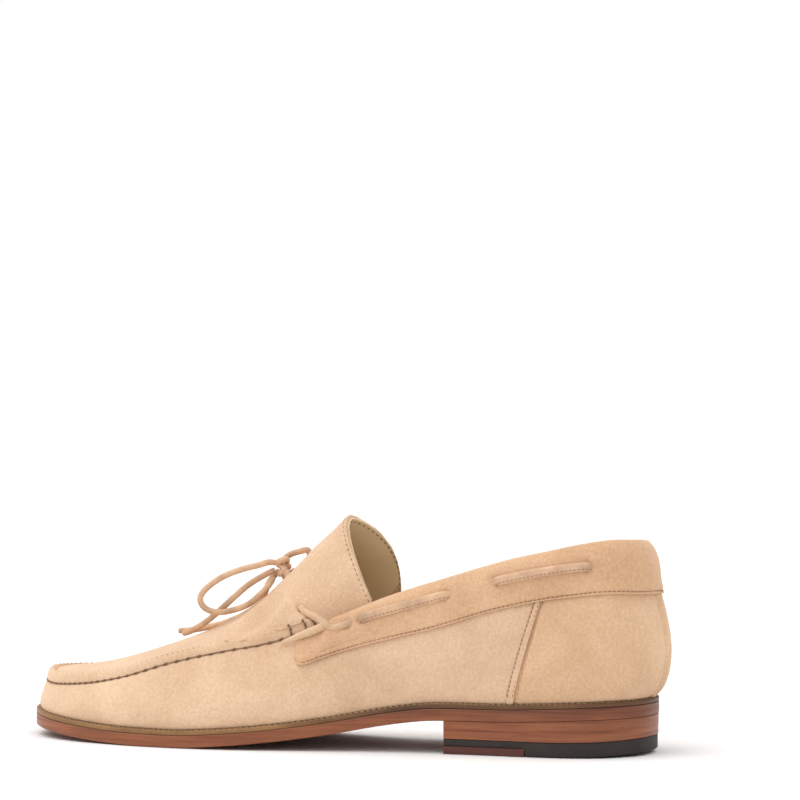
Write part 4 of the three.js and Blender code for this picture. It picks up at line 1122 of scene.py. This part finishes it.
RIM_STEPS = [(0, 0.0002), (0, 0.0014), (0.0003, 0.003), (0.001, 0.0041), (0.0019, 0.0045),
             (0.0028, 0.0042), (0.0033, 0.0030), (0.0037, 0.0021), (0.0042, 0.0026), (0.0052, 0.0032)]
SHEET_ROWS = 52
POLE_MERGE = 0.00025


def sheet_edge(s, side):
    """Lower edge of the sheet: the moccasin seam, then the side of the tongue."""
    if s <= APRON_END:
        return top_line(np.array(TOE - s if side > 0 else TOE + s))
    rows = [top_line(np.array(q if side > 0 else 2 * TOE - q)) for q in (10.0, 9.0)]
    for row in TONGUE_SIDES:
        rows.append(place(*(row[:3] if side > 0 else row[3:])))
    return through(np.array(rows), s - APRON_END + 1)


def sheet_column(s, side):
    """Points from the edge of the sheet, over its rim and up to the crown line."""
    edge = sheet_edge(s, side)
    crown_t, crown_z = through(CROWN, np.array(s))
    middle = place(-0.001 - 0.003 * ease((4 - s) / 4), crown_t, crown_z)
    rim = ease((8.62 - s) / 0.4)
    lower = 1 - 0.3 * ease((s - 2.5) / 3)
    arch = ease((s - 4.5) / 4.5)
    reach = np.linalg.norm((middle - edge)[:2])
    inward = np.array([a for a, _ in RIM_STEPS])
    lift = np.array([b for _, b in RIM_STEPS])
    left = SHEET_ROWS - len(RIM_STEPS)
    first = RIM_STEPS[-1][0] / reach
    share = np.concatenate([inward / reach, first + (1 - first) * np.arange(1, left + 1) / left])
    raised = np.concatenate([lift - lift[-1], np.zeros(left)]) * rim * lower
    angle = share * math.pi / 2
    rise = (1 - arch) * (1 - (1 - share) ** 2) + arch * np.sin(angle)
    run = (1 - arch) * share + arch * (1 - np.cos(angle))
    lag = 1.0 if side > 0 else 1 + INNER_LAG * ease((s - 9) / 3)
    along = (1 - arch) * share + arch * np.sin(angle) ** lag
    low = edge[2] + rim * lower * lift[-1]
    x = edge[0] + (middle[0] - edge[0]) * run
    y = edge[1] + (middle[1] - edge[1]) * along
    z = low + (middle[2] - low) * rise + raised
    return np.stack([x, y, z], -1), share


def sheet_grid(first, last, count, side, skip=0):
    """One half of the sheet, without the first skip points of each column."""
    return np.array([sheet_column(s, side)[0][skip:] for s in np.linspace(first, last, count)])


def sheet_surface(first, last, count, skip=0):
    """Both halves of the sheet as one open grid, from the outer side's rear round the toe."""
    outer = sheet_grid(first, last, count, 1, skip)[::-1]
    inner = sheet_grid(first, last, count, -1, skip)
    if first == 0:
        return [np.concatenate([outer, inner[1:]])]
    return [outer, inner]


def sheet_piece(name, grids, material, depth, thickness, relief, edge=0.0003):
    """A solid sheet over the grids, its face sunk by depth and shaped by relief."""
    points, faces = [], []
    for grid in grids:
        faces.extend(grid_faces(*grid.shape[:2], start=len(points)))
        points.extend(grid.reshape(-1, 3))
    piece = mesh_piece(name, points, faces, material, 60)
    shape = bmesh.new()
    shape.from_mesh(piece.data)
    bmesh.ops.remove_doubles(shape, verts=shape.verts, dist=POLE_MERGE)
    shape.to_mesh(piece.data)
    shape.free()
    outward(piece)
    co = np.array([v.co for v in piece.data.vertices])
    normals = np.array([v.normal for v in piece.data.vertices])
    co = co - normals * depth
    co = co + normals * relief(co)[:, None]
    piece.data.vertices.foreach_set("co", co.ravel())
    piece.data.update()
    solid_sheet(piece, thickness, edge)
    return piece


# Instep creases: where the foot bends, a soft crease runs from the crown down to the rim on each side.
CREASE_TOP = (7.95, 0.62)
CREASE_FOOT = (6.35, 0.13)


def crease_line(side):
    """Points down a crease, from its top on the instep to its foot near the rim."""
    line = []
    for u in np.linspace(0, 1, 40):
        column, share = sheet_column(CREASE_TOP[0] + (CREASE_FOOT[0] - CREASE_TOP[0]) * u, side)
        across = CREASE_TOP[1] + (CREASE_FOOT[1] - CREASE_TOP[1]) * u
        line.append([float(np.interp(across, share[4:], column[4:, i])) for i in range(3)])
    return np.array(line)


CREASES = [crease_line(1), crease_line(-1)]
LACE_HOLES = [place(0.0284, 0.1544, 0.0613), place(-0.0264, 0.1554, 0.0613)]


def apron_relief(co):
    """A slow swell, the instep creases, and a dimple round each hole of the lace."""
    height = 0.00035 * drift(co, 0.024, 14.0)
    for line in CREASES:
        gaps = np.linalg.norm(co[:, None] - line[None], axis=2)
        away, nearest = gaps.min(axis=1), gaps.argmin(axis=1) / (len(line) - 1)
        fade = np.sin(math.pi * np.clip(nearest * 0.86 + 0.07, 0, 1))
        height -= 0.0034 * fade * np.exp(-(away / 0.005) ** 2)
        height += 0.0012 * fade * np.exp(-((away - 0.0095) / 0.0038) ** 2)
    for hole in LACE_HOLES:
        away = np.linalg.norm(co - hole, axis=1)
        height -= 0.0019 * np.exp(-(away / 0.0021) ** 4)
    return height


HINGE_T = 0.1562
HINGE_Z = 0.0887
apron = sheet_piece("apron_and_tongue", sheet_surface(0, TONGUE_END, 250), suede, 0.0, SUEDE, apron_relief)
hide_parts("apron", "tongue_flap")
bend_start = place(0, HINGE_T + 0.012, HINGE_Z - 0.01)
bend_end = place(0, HINGE_T - 0.022, HINGE_Z + 0.004)
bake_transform(apron)

under = sheet_piece("apron_and_tongue_lining", sheet_surface(0, TONGUE_END - 0.02, 130, 9), lining_leather,
                    SUEDE + 0.0001, LINING, apron_relief, 0.0002)
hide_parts("apron_lining", "tongue_lining")
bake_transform(under)


# ---------------------------------------------------------------------------------------------
# Tongue stitching: one row of fine thread round the top of the tongue, a few millimetres inside
# its edge, that holds suede and lining together. It shows on both faces.
def tongue_line(s, depth):
    """A line round the tongue at s, sunk by depth, and the way out of the sheet along it."""
    columns = [sheet_column(s, side)[0] for side in (1, -1)]
    nexts = [sheet_column(s + 0.01, side)[0] for side in (1, -1)]
    line = np.concatenate([columns[0][4:], columns[1][4:-1][::-1]])
    ahead = np.concatenate([nexts[0][4:], nexts[1][4:-1][::-1]]) - line
    out = unit(np.cross(np.gradient(line, axis=0), ahead))
    if np.sum(out * (line - line.mean(0))) < 0:
        out = -out
    return line - out * depth, out


lining_thread = thread_material("lining_thread", (0.16, 0.085, 0.05))
for name, depth, facing, thread in (
        ("tongue_stitching", -0.00005, 1, fine_thread),
        ("tongue_lining_stitching", SUEDE + LINING + 0.0002, -1, lining_thread)):
    line, out = tongue_line(TONGUE_END - 0.24, depth)
    spots, ways = evenly(line, 0.0026)
    share = np.linspace(0, 1, len(spots))
    outs = np.stack([np.interp(share, np.linspace(0, 1, len(out)), out[:, i]) for i in range(3)], -1)
    row = stitches(name, spots, ways, outs * facing, 0.0018, 0.0005, thread, rides=False,
                   skew=0.1)
    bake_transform(row)

# ---------------------------------------------------------------------------------------------
# Moccasin seam: a heavy waxed thread, whipped through the rim and the gathered wall. In the seam
# only short slanting dashes of it show, over a thin dark tube of painted shade where the two edges meet.
seam_thread = thread_material("seam_thread", (0.2, 0.11, 0.062))
seam_k = np.linspace(9.35, 2 * TOE - 9.35, 2400)
seam = top_line(seam_k)
seam_run_at = seam_run(seam_k)
spots, seam_ks = [], []
at = 0.0
while at < seam_run_at[-1]:
    k = float(np.interp(at, seam_run_at, seam_k))
    spots.append([float(np.interp(at, seam_run_at, seam[:, i])) for i in range(3)])
    seam_ks.append(k)
    at += float(thread_pitch(half_station(np.array(k))))
seam_ks = np.array(seam_ks)
outs = wall_normal(seam_ks, np.full(len(seam_ks), 0.97))
ways = np.gradient(np.array(spots), axis=0)
stitches("moccasin_seam_thread", np.array(spots) + outs * 0.0001, ways, outs, 0.0025, 0.00075, seam_thread,
         skew=0.35)
# Painted shade: a thin tube in a dark suede colour, sunk along the seam, stands for the shadowed line where
# the rim and the wall meet.
rim_shade = thread_material("seam_shade", (0.34, 0.205, 0.12))
seam_shade_path, _ = evenly(seam - wall_normal(seam_k, np.full(len(seam_k), 0.97)) * 0.0004, 0.0012)
seam_shade_tube = tube("moccasin_seam_painted_shade", lace_rings(seam_shade_path, ROUND_SECTION * 0.22), rim_shade)
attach(seam_shade_tube, "shoe")

# ---------------------------------------------------------------------------------------------
# Cross threads: three longer turns of the same thread go over the rim at each end of the seam
# and hold it.
cross_points, cross_ways, cross_outs = [], [], []
for side in (1, -1):
    for s in (7.62, 7.98, 8.32):
        column, _ = sheet_column(s, side)
        line = column[1:5]
        spots, ways = evenly(line, 0.0018)
        outs = np.cross(ways, sheet_column(s + 0.01, side)[0][0] - column[0])
        if np.dot(outs[0], (side, 0, 0)) < 0:
            outs = -outs
        cross_points.append(spots + unit(outs) * 0.0002)
        cross_ways.append(ways)
        cross_outs.append(outs)
stitches("rim_cross_threads", np.concatenate(cross_points), np.concatenate(cross_ways),
         np.concatenate(cross_outs), 0.002, 0.0012, seam_thread)

# ---------------------------------------------------------------------------------------------
# Rim stitching: a row of fine pale thread along the top of the rim, round the toe, which keeps
# the turned-up suede folded.
RIM_ROW_END = 6.2
RIM_CREST = 4
rim_row = [(s, 1) for s in np.linspace(RIM_ROW_END, 0, 160)]
rim_row += [(s, -1) for s in np.linspace(0, RIM_ROW_END, 160)[1:]]
rim_line = [sheet_column(s, side)[0][RIM_CREST] - np.array((0, 0, 0.00012)) for s, side in rim_row]
spots, ways = evenly(np.array(rim_line), 0.0026)
rim_thread = thread_material("rim_thread", (0.42, 0.26, 0.155))
stitches("rim_stitching", spots, ways, np.tile((0, 0, 1.0), (len(spots), 1)), 0.0017, 0.0005, rim_thread)

# ---------------------------------------------------------------------------------------------
# Rim tabs: where the seam ends the wall's edge is folded back on itself into a narrow almond tab
# that closes round the end of the rim.
TAB_RUN = [
    (9.6, 0.0034, 0.0012), (9.45, 0.0033, 0.0017), (9.25, 0.0031, 0.0024), (9.0, 0.0029, 0.0028),
    (8.75, 0.0028, 0.003), (8.55, 0.0026, 0.003), (8.46, 0.0021, 0.0027), (8.42, 0.0014, 0.0022),
]
TAB_SECTION = np.array([(math.cos(a) * 0.00105, math.sin(a) * 0.0018)
                        for a in np.linspace(0, 2 * math.pi, 21)[:-1]])
TAB_SWELL = [(0, 0.1), (0.12, 0.45), (0.35, 0.75), (0.62, 1.0), (0.88, 1.0), (0.96, 0.8), (1, 0.45)]


def rim_tab(name, side):
    """The tab of the outer side, 1, or of the inner side, -1."""
    run = np.array([on_wall(np.array(k if side > 0 else 2 * TOE - k), drop, out)
                    for k, drop, out in TAB_RUN])
    path, _ = evenly(through(run, np.linspace(0, len(run) - 1, 600)), 0.0005)
    rings = lace_rings(path, TAB_SECTION, sideways=path * (1, 0.25, 0))
    along = np.linspace(0, 1, len(path))
    swell = np.interp(along, *np.transpose(TAB_SWELL))
    rings = path[:, None] + (rings - path[:, None]) * swell[:, None, None]
    piece = tube(name, rings, suede)
    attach(piece, "shoe")


rim_tab("rim_tab_outer", 1)
rim_tab("rim_tab_inner", -1)

# ---------------------------------------------------------------------------------------------
# Knot: two turns of the lace leather round each other, pulled tight over the hole in the apron
# where the held lace comes out.
KNOT_AT = place(0.0015, 0.173, 0.0774)
knot_points = []
for a in np.linspace(0, 2 * math.pi, 220):
    wrap = 0.0022 + 0.0012 * math.cos(2 * a)
    knot_points.append(KNOT_AT + np.array((
        0.0028 * math.sin(a) + 0.0012 * math.sin(3 * a),
        0.0016 * math.cos(3 * a) - 0.0004,
        wrap * math.cos(a) * 0.9 + 0.0008 * math.sin(2 * a))))
knot_path = np.array(knot_points)
knot = tube("bow_knot", lace_rings(knot_path, ROUND_SECTION * 0.98), lace_leather)
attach(knot, "shoe")
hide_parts("bow_knot")

# ---------------------------------------------------------------------------------------------
# Inside the bottom and the heel: cork filler, leather insole board, foam heel pad, fibre
# stiffeners, and the steel of the shank and nails. None of it is seen on a whole shoe.
def plain_material(name, dark, light, scale, roughness, metallic=0.0):
    """A finish for a hidden piece, with a mottle and a grain of its own."""
    material = leather_material(name, dark, light, scale, roughness, 0.3)
    material.node_tree.nodes["Principled BSDF"].inputs["Metallic"].default_value = metallic
    return material


cork = plain_material("cork", (0.26, 0.14, 0.07), (0.55, 0.34, 0.18), 400, 0.9)
board = plain_material("insole_leather", (0.46, 0.34, 0.21), (0.62, 0.49, 0.33), 60, 0.8)
foam = plain_material("pad_foam", (0.60, 0.55, 0.44), (0.72, 0.67, 0.56), 300, 0.95)
fibre = plain_material("stiffener", (0.56, 0.50, 0.40), (0.70, 0.64, 0.53), 220, 0.9)
steel = plain_material("steel", (0.30, 0.31, 0.32), (0.48, 0.49, 0.50), 120, 0.35, 1.0)
NAILS = [f"heel_nail_{i}" for i in range(1, 6)]
HIDDEN = {"cork_filler": cork, "insole_board": board, "heel_pad": foam, "heel_counter": fibre,
          "toe_puff": fibre, "shank": steel, **{name: steel for name in NAILS}}
for name, material in HIDDEN.items():
    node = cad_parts[name]
    node.data.materials.clear()
    node.data.materials.append(material)

# ---------------------------------------------------------------------------------------------
# Floor and light: a pale plain floor that runs back out of sight, a sky like a white tent that is
# brightest overhead, and one broad soft key from above the toe.
paper = bpy.data.materials.new("floor_paper")
paper.use_nodes = True
paper.node_tree.nodes["Principled BSDF"].inputs["Base Color"].default_value = (0.88, 0.88, 0.88, 1)
paper.node_tree.nodes["Principled BSDF"].inputs["Roughness"].default_value = 0.95
bpy.ops.object.select_all(action="DESELECT")
bpy.ops.mesh.primitive_plane_add(size=400, location=(0, 0, -0.0002))
floor = bpy.context.object
floor.name = "floor"
floor.data.materials.append(paper)

bpy.ops.object.light_add(type="SUN", location=(-0.5, -1.5, 2.5))
key = bpy.context.object
key.name = "key"
key.data.energy = 0.9
key.data.angle = math.radians(50)
key.rotation_euler = Vector((-0.5, 0.75, -1.5)).to_track_quat("-Z", "Y").to_euler()

world = bpy.data.worlds.new("surround")
world.use_nodes = True
nodes, links = world.node_tree.nodes, world.node_tree.links
sky_at = nodes.new("ShaderNodeTexCoord")
upward = nodes.new("ShaderNodeSeparateXYZ")
brightness = nodes.new("ShaderNodeValToRGB")
brightness.color_ramp.elements[0].position = 0.0
brightness.color_ramp.elements[0].color = (1, 1, 1, 1)
brightness.color_ramp.elements[1].position = 1.0
brightness.color_ramp.elements[1].color = (1.55, 1.55, 1.55, 1)
for position, strength in ((0.03, 1.0), (0.08, 0.62), (0.5, 0.9)):
    brightness.color_ramp.elements.new(position).color = (strength, strength, strength, 1)
links.new(sky_at.outputs["Generated"], upward.inputs["Vector"])
links.new(upward.outputs["Z"], brightness.inputs["Fac"])
links.new(brightness.outputs["Color"], nodes["Background"].inputs["Color"])
nodes["Background"].inputs["Strength"].default_value = 1.0
bpy.context.scene.world = world
bpy.context.scene.view_settings.view_transform = "Standard"
